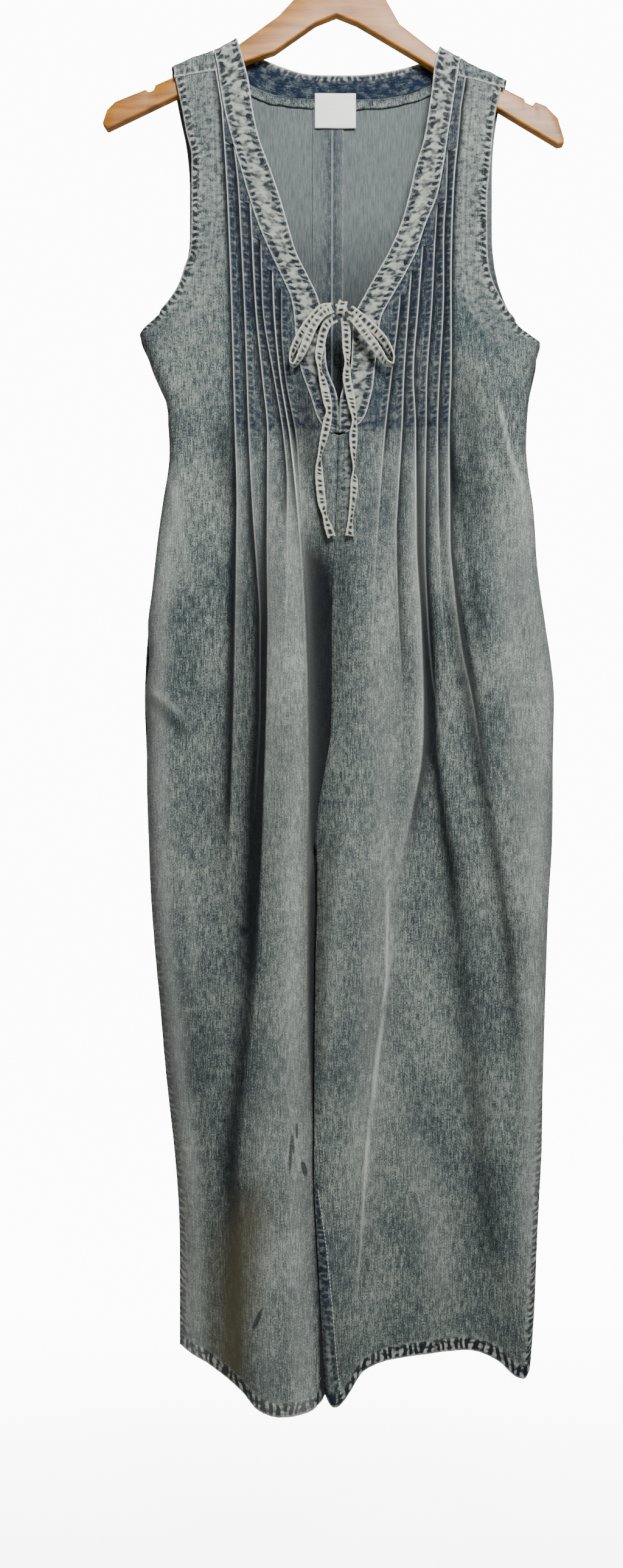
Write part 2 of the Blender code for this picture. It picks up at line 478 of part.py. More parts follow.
def build_back(hand, collection, material):
    """One back: smooth under the neck band, with a few loose folds from the hips down."""
    left = hand < 0
    armhole, side = ((BACK_ARMHOLE_LEFT, SIDE_LEFT) if left
                     else (BACK_ARMHOLE_RIGHT, SIDE_RIGHT))
    inseam = INSEAM_LEFT if left else INSEAM_RIGHT
    inseam_forward = INSEAM_FORWARD_LEFT if left else INSEAM_FORWARD_RIGHT
    side_forward = ((0, 0), (1500, 0)) if left else SIDE_FORWARD_RIGHT
    hem = HEM_BACK_LEFT if left else HEM_BACK_RIGHT
    top = BACK_TOP_LEFT if left else BACK_TOP_RIGHT
    underarm = side[0][0]
    drops = np.array(BACK_DROPS, dtype=float)
    on_rise = drops < CROTCH_DROP
    side_x = side_outline(armhole, side, drops)
    centre_x = np.where(on_rise, along(CENTRE_BACK, drops), along(inseam, drops))
    centre_x = centre_x + hand * SEAM_HALF
    belly = -along(BACK_BELLY, drops)
    centre_f = np.where(on_rise, along(CENTRE_BACK_FORWARD, drops), along(inseam_forward, drops))
    edge_f = np.where(drops < underarm - 20, belly * 0.85,
                      np.where(drops < underarm, belly * 0.4, along(side_forward, drops)))
    growth = along(BACK_FOLD_GROWTH, drops)
    x, forward = [], []
    for offset, share in EDGE_ROLL:
        x.append(side_x - hand * offset)
        forward.append(edge_f + (belly - edge_f) * share)
    inner_x = x[-1]
    for share, rise in BACK_FOLDS:
        x.append(inner_x + (centre_x - inner_x) * share)
        forward.append(belly - rise * growth)
    near_x = x[-1]
    x.append(near_x + (centre_x - near_x) * 0.7)
    forward.append((belly + centre_f) / 2)
    x.append(centre_x)
    forward.append(centre_f)
    x, forward = np.stack(x, axis=1), np.stack(forward, axis=1)
    level = np.repeat(drops[:, None], x.shape[1], axis=1)
    x, level, forward = turn_into_hem(x, level, forward, drops, side_x, centre_x, hem, left)
    top_x = x[0].copy()
    top_x[:4] = along(armhole, 176) - hand * np.array(EDGE_ROLL)[:, 0]
    top_x[3:] = top_x[3] + (x[0][3:] - x[0][3]) * (
        (x[0][-1] - top_x[3]) / (x[0][-1] - x[0][3]))
    top_level = straight(top, top_x)
    top_forward = np.full_like(top_x, BACK_SHOULDER_FORWARD)
    x = np.vstack([top_x, (top_x + x[0]) / 2, x])
    level = np.vstack([top_level, (top_level + level[0]) / 2, level])
    forward = np.vstack([top_forward, (top_forward + forward[0]) / 2, forward])
    base = to_world(x, level, forward)
    outer = base.copy()
    inner = base + grid_normals(base) * hand * WALL * MM
    close_seams(base, outer, inner, hand, 1)
    return cloth_wall("back_" + SIDE_NAMES[hand], outer, inner, collection, material)


def build_neck_band(hand, collection, material):
    """Front neck band: over the shoulder, down the V and on round the keyhole slit."""
    left = hand < 0
    outside, inside = ((BAND_OUT_LEFT, BAND_IN_LEFT) if left
                       else (BAND_OUT_RIGHT, BAND_IN_RIGHT))
    plain_from = 235
    drops = [d for d in FRONT_DROPS if plain_from <= d < PLACKET_FOOT]
    rows = []
    first_out, first_in = outside[0][0], inside[0][0]
    for down, forward in BAND_SADDLE:
        rows.append((first_out + down, first_in + down, forward))
    for share in (0.25, 0.45, 0.7):
        rows.append((first_out + (plain_from - first_out) * share,
                     first_in + (plain_from - first_in) * share, None))
    rows += [(d, d, None) for d in drops]
    shares = np.array((0.0, 0.35, 0.7, 1.0))
    x, level, forward = [], [], []
    for out_drop, in_drop, fixed in rows:
        out_x, in_x = along(outside, out_drop), along(inside, in_drop)
        in_x = in_x + (hand * SEAM_HALF if in_drop > SLIT_FOOT else 0.0)
        x.append(out_x + (in_x - out_x) * shares)
        level.append(out_drop + (in_drop - out_drop) * shares)
        if fixed is None:
            forward.append(along(FRONT_BELLY, level[-1]) + BAND_FORWARD)
        else:
            forward.append(np.full(len(shares), fixed))
    base = to_world(np.array(x), np.array(level), np.array(forward))
    inner = base - grid_normals(base) * hand * BAND_WALL * MM
    inner[:, 0, 0] = base[:, 0, 0]
    joined = np.array([row[-1] > SLIT_FOOT for row in level])
    inner[joined, -1, 0] = base[joined, -1, 0]
    inner[0] = base[0] - np.array((0, 0, BAND_WALL * MM))
    return cloth_wall("neck_band_" + SIDE_NAMES[hand], base, inner, collection, material)


def build_back_band(collection, material):
    """Back neck band from shoulder to shoulder, seen from inside through the neck."""
    table = np.array(BACK_BAND)
    shares = np.array((0.0, 0.5, 1.0))
    x = table[:, 0:1] + (table[:, 2:3] - table[:, 0:1]) * shares
    level = table[:, 1:2] + (table[:, 3:4] - table[:, 1:2]) * shares
    base = to_world(x, level, table[:, 4:5])
    inner = base + grid_normals(base) * BAND_WALL * MM
    for end in (0, -1):
        inner[end] = base[end] - np.array((0, 0, BAND_WALL * MM))
    cloth_wall("neck_band_back", base, inner, collection, material)


def build_allowance(collection, material):
    """Overlocked seam allowance that hangs from the back band inside the neck."""
    table = np.array(BACK_BAND)[4:11]
    shares = np.array((0.0, 0.5, 1.0))
    x = np.repeat(table[:, 2:3], 3, axis=1)
    level = table[:, 3:4] + 0.4 + ALLOWANCE_HEIGHT * shares
    base = to_world(x, level, ALLOWANCE_FORWARD)
    cloth_wall("back_neck_allowance", base, base - np.array((0, MM, 0)), collection, material)


def build_shoulder(hand, collection, material):
    """The back's shoulder end, turned over the hanger's arm to the seam on the front."""
    seam = SHOULDER_SEAM_LEFT if hand < 0 else SHOULDER_SEAM_RIGHT
    outside, inside = (-160.0, -119.7) if hand < 0 else (165.0, 120.7)
    x = outside + (inside - outside) * np.array((0.0, 0.33, 0.67, 1.0))
    ridge = straight(RIDGE, x)
    pull = np.where(np.abs(x - outside) < 1.0, -hand * ARMHOLE_PULL, 0.0)
    seam_level = straight(seam, x) - 0.5
    rows = [to_world(x + pull, seam_level, FRONT_SHOULDER_FORWARD)]
    for down, forward in SADDLE:
        share = max(forward, 0.0) / FRONT_SHOULDER_FORWARD
        rows.append(to_world(x + pull * share, ridge + down, forward))
    base = np.array(rows)
    inner = base + grid_normals(base) * hand * WALL * MM
    inner[:, -1, 0] = base[:, -1, 0]
    inner[-1, :, 2] = base[-1, :, 2]
    inner[0, :, 2] = base[0, :, 2]
    cloth_wall("shoulder_" + SIDE_NAMES[hand], base, inner, collection, material)


def flat_cord(name, route, collection, material):
    """A folded tie as a flat strip.  A row's turn of 0 shows its broad side to the viewer."""
    route = np.array(route, dtype=float)
    steps = np.concatenate(
        ([0], np.cumsum(np.linalg.norm(np.diff(route[:, :3], axis=0), axis=1))))
    count = max(5, int(steps[-1] / TIE_SECTION_STEP))
    place = np.linspace(0, steps[-1], count)
    points = np.stack([along(np.stack([steps, route[:, k]], axis=1), place)
                       for k in range(3)], axis=1)
    points = to_world(points[:, 0], points[:, 1], points[:, 2])
    tangent = np.gradient(points, axis=0)
    tangent /= np.linalg.norm(tangent, axis=1, keepdims=True)
    side = np.cross(tangent, np.array((0.0, -1.0, 0.0)))
    side /= np.linalg.norm(side, axis=1, keepdims=True)
    turn = np.radians(along(np.stack([steps, route[:, 3]], axis=1), place))[:, None]
    side = side * np.cos(turn) + np.cross(side, tangent) * np.sin(turn)
    face = np.cross(side, tangent)
    half = TIE_WIDTH / 2 * MM
    outer = np.stack([points + side * half * s + face * TIE_THICK * MM / 2
                      for s in (-1, 0, 1)], axis=1)
    inner = np.stack([points + side * half * s - face * TIE_THICK * MM / 2
                      for s in (-1, 0, 1)], axis=1)
    cloth_wall(name, outer, inner, collection, material)


def build_knot(collection, material):
    mesh = bmesh.new()
    bmesh.ops.create_uvsphere(mesh, u_segments=12, v_segments=8, radius=0.5 * MM)
    for vert in mesh.verts:
        vert.co = (vert.co.x * KNOT["size"][0], vert.co.y * KNOT["size"][1],
                   vert.co.z * KNOT["size"][2])
    data = bpy.data.meshes.new("tie_knot")
    mesh.to_mesh(data)
    mesh.free()
    data.shade_smooth()
    knot = add_object("tie_knot", data, collection, material)
    knot.location = (KNOT["x"] * MM, -KNOT["forward"] * MM, -KNOT["drop"] * MM)


def build_label(collection, material):
    xs = LABEL["x"] + LABEL["width"] * np.array((-0.5, 0.0, 0.5))
    levels = np.array((LABEL["top"], (LABEL["top"] + LABEL["foot"]) / 2, LABEL["foot"]))
    x, level = np.meshgrid(xs, levels)
    front = to_world(x, level, LABEL["forward"])
    cloth_wall("neck_label", front, front + np.array((0, LABEL["thick"] * MM, 0)),
               collection, material)


def build_hanger(collection, wood, metal):
    curve = bpy.data.curves.new("hanger_body", "CURVE")
    curve.dimensions = "2D"
    curve.fill_mode = "BOTH"
    outline = list(HANGER_TOP) + list(reversed(HANGER_UNDER))
    spline = curve.splines.new("POLY")
    spline.points.add(len(outline) - 1)
    for point, (x, drop) in zip(spline.points, outline):
        point.co = (x * MM, -drop * MM, 0, 1)
    spline.use_cyclic_u = True
    curve.extrude = HANGER_THICK / 2 * MM
    hanger = bpy.data.objects.new("hanger_body", curve)
    hanger.rotation_euler = (math.radians(90), 0, 0)
    collection.objects.link(hanger)
    curve.materials.append(wood)

    wire = bpy.data.curves.new("hanger_hook", "CURVE")
    wire.dimensions = "3D"
    wire.fill_mode = "FULL"
    wire.bevel_depth = HOOK_WIRE / 2 * MM
    wire.bevel_resolution = 2
    wire.use_fill_caps = True
    # the rail bears on the inside of the hook's top, at the origin
    centre_drop = HOOK_RADIUS - HOOK_WIRE / 2
    points = []
    for step in range(HOOK_STEPS):
        angle = math.radians(HOOK_START - step * HOOK_TURN)
        points.append((HOOK_RADIUS * math.cos(angle),
                       centre_drop - HOOK_RADIUS * math.sin(angle)))
    points += HOOK_SHANK
    spline = wire.splines.new("POLY")
    spline.points.add(len(points) - 1)
    for point, (x, drop) in zip(spline.points, points):
        point.co = (x * MM, 0, -drop * MM, 1)
    hook = bpy.data.objects.new("hanger_hook", wire)
    collection.objects.link(hook)
    wire.materials.append(metal)


def main():
    clear_scene()
    collection = bpy.data.collections.new("denim_jumpsuit")
    bpy.context.scene.collection.children.link(collection)
    denim = fabric_material("washed_denim", (0.17, 0.21, 0.22))
    band_denim = fabric_material("washed_denim_band", (0.24, 0.27, 0.29))
    tie_denim = fabric_material("denim_tie", (0.55, 0.55, 0.46))
    label_cloth = fabric_material("woven_label", (0.83, 0.85, 0.82), 0.8)
    wood = fabric_material("varnished_wood", (0.60, 0.33, 0.12), 0.45)
    steel = fabric_material("plated_steel", (0.65, 0.65, 0.66), 0.25, 1.0)
    build_hanger(collection, wood, steel)
    for hand in SIDE_NAMES:
        build_front(hand, collection, denim)
        build_back(hand, collection, denim)
        build_shoulder(hand, collection, denim)
        build_neck_band(hand, collection, band_denim)
    build_back_band(collection, band_denim)
    build_allowance(collection, denim)
    build_label(collection, label_cloth)
    build_knot(collection, tie_denim)
    for name, route in (("tie_lead_left", LEAD_LEFT), ("tie_lead_right", LEAD_RIGHT),
                        ("tie_loop_left", LOOP_LEFT), ("tie_loop_right", LOOP_RIGHT),
                        ("tie_tail_left", TAIL_LEFT), ("tie_tail_right", TAIL_RIGHT)):
        flat_cord(name, route, collection, tie_denim)


main()
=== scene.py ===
# Denim jumpsuit on its wooden hanger: the look of every piece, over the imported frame.
# Tables are in millimetres: drop is down from the hook's bearing point, forward is towards -Y.
from functools import partial
import math

import bmesh
import bpy
import numpy as np
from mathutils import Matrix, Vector
from mathutils.bvhtree import BVHTree


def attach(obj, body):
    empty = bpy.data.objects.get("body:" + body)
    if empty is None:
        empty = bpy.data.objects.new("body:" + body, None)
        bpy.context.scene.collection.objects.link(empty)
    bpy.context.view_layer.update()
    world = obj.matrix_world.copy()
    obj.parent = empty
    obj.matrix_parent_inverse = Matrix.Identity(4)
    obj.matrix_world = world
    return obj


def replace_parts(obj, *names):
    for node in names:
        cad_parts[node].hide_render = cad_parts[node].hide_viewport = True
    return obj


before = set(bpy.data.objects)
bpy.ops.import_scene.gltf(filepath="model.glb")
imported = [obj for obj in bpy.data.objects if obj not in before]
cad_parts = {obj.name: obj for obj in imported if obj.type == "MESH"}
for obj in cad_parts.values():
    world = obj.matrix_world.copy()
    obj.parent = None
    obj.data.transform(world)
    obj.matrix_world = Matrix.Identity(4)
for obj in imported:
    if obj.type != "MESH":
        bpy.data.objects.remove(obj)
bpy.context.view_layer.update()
mm = 0.001


# small tools

def linear(hexColour):
    parts = [int(hexColour[i:i + 2], 16) / 255 for i in (0, 2, 4)]
    return tuple(c / 12.92 if c <= 0.04045 else ((c + 0.055) / 1.055) ** 2.4
                 for c in parts) + (1.0,)


def fill(tree, node, inputs):
    # by the sockets' order or by name: a value is set, and another node's output is linked
    for key, value in inputs.items() if isinstance(inputs, dict) else enumerate(inputs):
        if isinstance(value, bpy.types.NodeSocket):
            tree.links.new(value, node.inputs[key])
        else:
            node.inputs[key].default_value = value


def addNode(tree, kind, inputs=(), output=0, **settings):
    node = tree.nodes.new("ShaderNode" + kind)
    for key, value in settings.items():
        setattr(node, key, value)
    fill(tree, node, inputs)
    return node.outputs[output]


# what several nodes are set to
times, plus = dict(operation="MULTIPLY"), dict(operation="MULTIPLY_ADD")
blend = dict(output=2, data_type="RGBA")


def newMaterial(name):
    material = bpy.data.materials.new(name)
    material.use_nodes = True
    return material, material.node_tree, material.node_tree.nodes["Principled BSDF"]


def along(table, where, column=1):
    # a smooth curve through the rows of a table, which never overshoots them
    rows = np.asarray(table, dtype=float)
    key, value = rows[:, 0], rows[:, column]
    where = np.clip(np.asarray(where, dtype=float), key[0], key[-1])
    slopes = np.diff(value) / np.diff(key)
    tangent = np.concatenate(([slopes[0]], (slopes[:-1] + slopes[1:]) / 2, [slopes[-1]]))
    turning = np.concatenate(([False], slopes[:-1] * slopes[1:] <= 0, [False]))
    tangent[turning] = 0.0
    limit = 3 * np.minimum(np.abs(np.append(slopes, slopes[-1])),
                           np.abs(np.insert(slopes, 0, slopes[0])))
    tangent = np.sign(tangent) * np.minimum(np.abs(tangent), limit)
    index = np.clip(np.searchsorted(key, where, side="right") - 1, 0, len(slopes) - 1)
    span = key[index + 1] - key[index]
    t = (where - key[index]) / span
    return ((2 * t**3 - 3 * t**2 + 1) * value[index] + (t**3 - 2 * t**2 + t) * span * tangent[index]
            + (3 * t**2 - 2 * t**3) * value[index + 1] + (t**3 - t**2) * span * tangent[index + 1])


def straight(table, where, column=1):
    rows = np.asarray(table, dtype=float)
    return np.interp(where, rows[:, 0], rows[:, column])


def toWorld(x, drop, forward):
    return np.stack(np.broadcast_arrays(np.asarray(x, dtype=float),
                                        -np.asarray(forward, dtype=float),
                                        -np.asarray(drop, dtype=float)), axis=-1) * mm


def smoothStep(value, low, high):
    t = np.clip((value - low) / (high - low), 0, 1)
    return t * t * (3 - 2 * t)


def peak(value, width, at=0.0, power=2):
    # 1 at its place and falling softly to 0 on both sides
    return np.exp(-np.abs((value - at) / width) ** power)


def runOf(points, axis=0):
    # the way along a row of points, from 0
    steps = np.linalg.norm(np.diff(points, axis=axis), axis=-1)
    start = np.zeros_like(np.take(steps, [0], axis=axis))
    return np.concatenate([start, np.cumsum(steps, axis=axis)], axis=axis)


def sided(name, hand):
    # a piece's name or a node's, for the viewer's left at -1 and right at 1
    side = "Left" if hand < 0 else "Right"
    return name + (side.lower() if name.endswith("_") else side)


def waves(a, b, lengthA, lengthB, seed, count=10):
    # soft seeded drape, about -1 to 1
    dice = np.random.default_rng(seed)
    total = np.zeros(np.broadcast(a, b).shape)
    for _ in range(count):
        stretch = dice.uniform(0.7, 1.6)
        turn = dice.uniform(-1, 1)
        total += np.sin(2 * np.pi * (a / (lengthA * stretch) * math.cos(turn)
                                     + b / (lengthB * stretch) * math.sin(turn * 1.5))
                        + dice.uniform(0, 6.28))
    return total / math.sqrt(count / 2) / 2


def pathDistance(x, drop, points):
    # distance to a drawn line, and the share of the way along it
    best = np.full(x.shape, 1e9)
    place = np.zeros(x.shape)
    points = np.asarray(points, dtype=float)
    run = runOf(points)
    for i in range(len(points) - 1):
        (ax, ad), (bx, bd) = points[i], points[i + 1]
        dx, dd = bx - ax, bd - ad
        t = np.clip(((x - ax) * dx + (drop - ad) * dd) / (dx * dx + dd * dd), 0, 1)
        away = np.hypot(x - ax - t * dx, drop - ad - t * dd)
        near = away < best
        best = np.where(near, away, best)
        place = np.where(near, (run[i] + t * (run[i + 1] - run[i])) / run[-1], place)
    return best, place


def gridNormals(grid):
    face = np.cross(grid[1:, 1:] - grid[:-1, :-1], grid[1:, :-1] - grid[:-1, 1:])
    face /= np.maximum(np.linalg.norm(face, axis=2, keepdims=True), 1e-12)
    normal = np.zeros_like(grid)
    normal[:-1, :-1] += face
    normal[1:, :-1] += face
    normal[:-1, 1:] += face
    normal[1:, 1:] += face
    return normal / np.maximum(np.linalg.norm(normal, axis=2, keepdims=True), 1e-12)


def refine(grid, alongStep, acrossStep):
    # a fine smooth grid through a coarse one, steps in millimetres
    for axis, step in ((0, alongStep), (1, acrossStep)):
        moved = np.moveaxis(grid, axis, 0)
        gaps = np.linalg.norm(np.diff(moved, axis=0), axis=-1).mean(axis=1)
        place = np.concatenate(([0], np.cumsum(gaps)))
        count = max(3, int(round(place[-1] / (step * mm))) + 1)
        wanted = np.linspace(0, place[-1], count)
        out = np.empty((count,) + moved.shape[1:])
        for j in range(moved.shape[1]):
            for k in range(moved.shape[2]):
                out[:, j, k] = along(np.stack([place, moved[:, j, k]], axis=1), wanted)
        grid = np.moveaxis(out, 0, axis)
    return grid


def newPiece(name, verts, faces, material):
    # a closed mesh with its faces outward, which rides on the one body
    mesh = bpy.data.meshes.new(name)
    mesh.from_pydata(verts, [], faces)
    shape = bmesh.new()
    shape.from_mesh(mesh)
    bmesh.ops.recalc_face_normals(shape, faces=shape.faces)
    shape.to_mesh(mesh)
    shape.free()
    mesh.update()
    mesh.shade_smooth()
    mesh.materials.append(material)
    piece = bpy.data.objects.new(name, mesh)
    bpy.context.collection.objects.link(piece)
    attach(piece, "root")
    return piece


def addMark(mesh, name, values):
    layer = mesh.attributes.new(name, "FLOAT", "POINT")
    layer.data.foreach_set("value", np.asarray(values, dtype=np.float32))


def addThreadMap(mesh, uv):
    corner = np.empty(len(mesh.loops), dtype=np.int32)
    mesh.loops.foreach_get("vertex_index", corner)
    mesh.uv_layers.new(name="cloth").data.foreach_set("uv", uv[corner].astype(np.float32).ravel())


def clothPiece(name, outer, inner, marks, across, down, material, node=None):
    # closed cloth between two grids, with its marks of wear, indigo, painted highlight and painted
    # shade, and the place of its threads
    rows, cols = outer.shape[:2]
    count = rows * cols
    index = np.arange(count).reshape(rows, cols)
    verts = np.concatenate([outer.reshape(-1, 3), inner.reshape(-1, 3)])
    a, b = index[:-1, :-1].ravel(), index[1:, :-1].ravel()
    d, e = index[:-1, 1:].ravel(), index[1:, 1:].ravel()
    quads = [np.stack([a, b, e, d], axis=1), np.stack([a, d, e, b], axis=1) + count]
    rim = np.concatenate([index[:, 0], index[-1, 1:], index[-2::-1, -1], index[0, -2:0:-1]])
    after = np.roll(rim, -1)
    quads.append(np.stack([after, rim, rim + count, after + count], axis=1))
    piece = newPiece(name, verts.tolist(), np.concatenate(quads).tolist(), material)
    for key, value in dict(dict.fromkeys(("inside", "hollow", "tint"), 0.0), **marks).items():
        value = np.broadcast_to(value, (rows, cols)).ravel()
        back = np.ones(count) if key == "inside" else value
        addMark(piece.data, key, np.concatenate([value, back]))
    uv = np.stack([across * mm, -down * mm], axis=-1).reshape(-1, 2)
    addThreadMap(piece.data, np.concatenate([uv, uv]))
    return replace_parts(piece, node) if node else piece


# camera, light and floor

studio = dict(
    camera=(-0.0242, -1.45, -0.8555), viewHeight=1.52, viewDistance=1.45, aim=(0, 0, -0.35),
    floorDrop=-1.62, bowl=4.6, bend=1.6, bendSteps=8, height=7.0, around=48, paper="F4F3F1",
    sky=0.22, frontGlow=0.7, backGlow=12.0, glowDepth=0.7,
    # name, place, size, power
    lights=(("keyLight", (0.3, -1.25, 0.36), 0.5, 38.0),
            ("fillLight", (1.6, -1.6, -0.6), 2.0, 1.9),
            ("rimLight", (0.3, 1.0, 0.9), 1.4, 14.0)))


def buildCameraAndLights():
    camera = bpy.data.objects.new("camera", bpy.data.cameras.new("camera"))
    bpy.context.collection.objects.link(camera)
    camera.location = studio["camera"]
    camera.rotation_euler = (math.radians(90), 0, 0)
    camera.data.sensor_fit = "VERTICAL"
    camera.data.angle = 2 * math.atan(studio["viewHeight"] / 2 / studio["viewDistance"])
    camera.data.clip_start = 0.05
    bpy.context.scene.camera = camera

    for name, place, size, power in studio["lights"]:
        lamp = bpy.data.objects.new(name, bpy.data.lights.new(name, "AREA"))
        bpy.context.collection.objects.link(lamp)
        lamp.data.size = size
        lamp.data.energy = power
        lamp.location = place
        lamp.visible_camera = False
        aim = Vector(studio["aim"]) - lamp.location
        lamp.rotation_euler = aim.to_track_quat("-Z", "Y").to_euler()

    world = bpy.data.worlds.new("studioWorld")
    world.use_nodes = True
    bpy.context.scene.world = world
    world.node_tree.nodes["Background"].inputs["Color"].default_value = (1, 1, 1, 1)
    world.node_tree.nodes["Background"].inputs["Strength"].default_value = studio["sky"]


def buildBackdrop():
    # a wide bowl of seamless paper, floor and wall with a soft bend between, all the way round
    bend, around = studio["bend"], studio["around"]
    flat = studio["bowl"] - bend
    turns = [math.pi / 2 * step / studio["bendSteps"] for step in range(studio["bendSteps"] + 1)]
    profile = [(flat + bend * math.sin(turn), bend * (1 - math.cos(turn))) for turn in turns]
    profile.append((studio["bowl"], studio["height"]))
    verts = [(0.0, 0.0, studio["floorDrop"])]
    verts += [(r * math.cos(2 * math.pi * k / around), r * math.sin(2 * math.pi * k / around),
               studio["floorDrop"] + z) for r, z in profile for k in range(around)]
    faces = [(0, 1 + k, 1 + (k + 1) % around) for k in range(around)]
    for first in range(1, 1 + (len(profile) - 1) * around, around):
        faces += [(first + k, first + around + k, first + around + (k + 1) % around,
                   first + (k + 1) % around) for k in range(around)]
    mesh = bpy.data.meshes.new("backdropPaper")
    mesh.from_pydata(verts, [], faces)
    mesh.shade_smooth()
    backdrop = bpy.data.objects.new("backdropPaper", mesh)
    bpy.context.collection.objects.link(backdrop)
    # the paper looks lit hard behind the garment and softly elsewhere, and adds no light of its own
    paper, tree, shader = newMaterial("paleSeamlessPaper")
    depth = addNode(tree, "SeparateXYZ", (addNode(tree, "TexCoord", output="Object"),), "Y")
    glow = addNode(tree, "MapRange", (depth, -studio["glowDepth"], studio["glowDepth"],
                                      studio["frontGlow"], studio["backGlow"]))
    seen = addNode(tree, "LightPath", output="Is Camera Ray")
    shown = addNode(tree, "Math", (glow, seen), operation="MULTIPLY")
    fill(tree, shader, {"Base Color": linear(studio["paper"]), "Roughness": 0.9,
                        "Emission Color": (1, 1, 1, 1), "Emission Strength": shown})
    mesh.materials.append(paper)


# denim

denimLook = dict(
    slubWidth=1.2, slubLength=15.0, speckle=1.3, mottle=5.0, cloud=60.0, twill=1.6,
    puckerWide=6.6, puckerTall=4.4, rungGap=6.3, rungSway=2.6,
    dark="233138", middle="545F5E", light="9FA59B", indigo="122034", hollow="080D14",
    bleachAndHighlight="DDE2DA", puckerDark="10161F", puckerLight="A9B0A8", inside="50585A",
    insidePale="737A7A", insideShare=0.92, tint="5A543A", scuff="0E1A22",
    # dark marks that a maker's hand left on the leg: x, drop, half length, half width, lean
    marks=((-37.8, 1178, 8.5, 1.2, 0.0), (-43.6, 1199, 19, 1.8, -0.05),
           (-41.4, 1190, 11, 1.4, 0.1), (-31.2, 1215, 9, 2.4, 0.22), (-74, 1349, 12, 2.3, -0.42)))


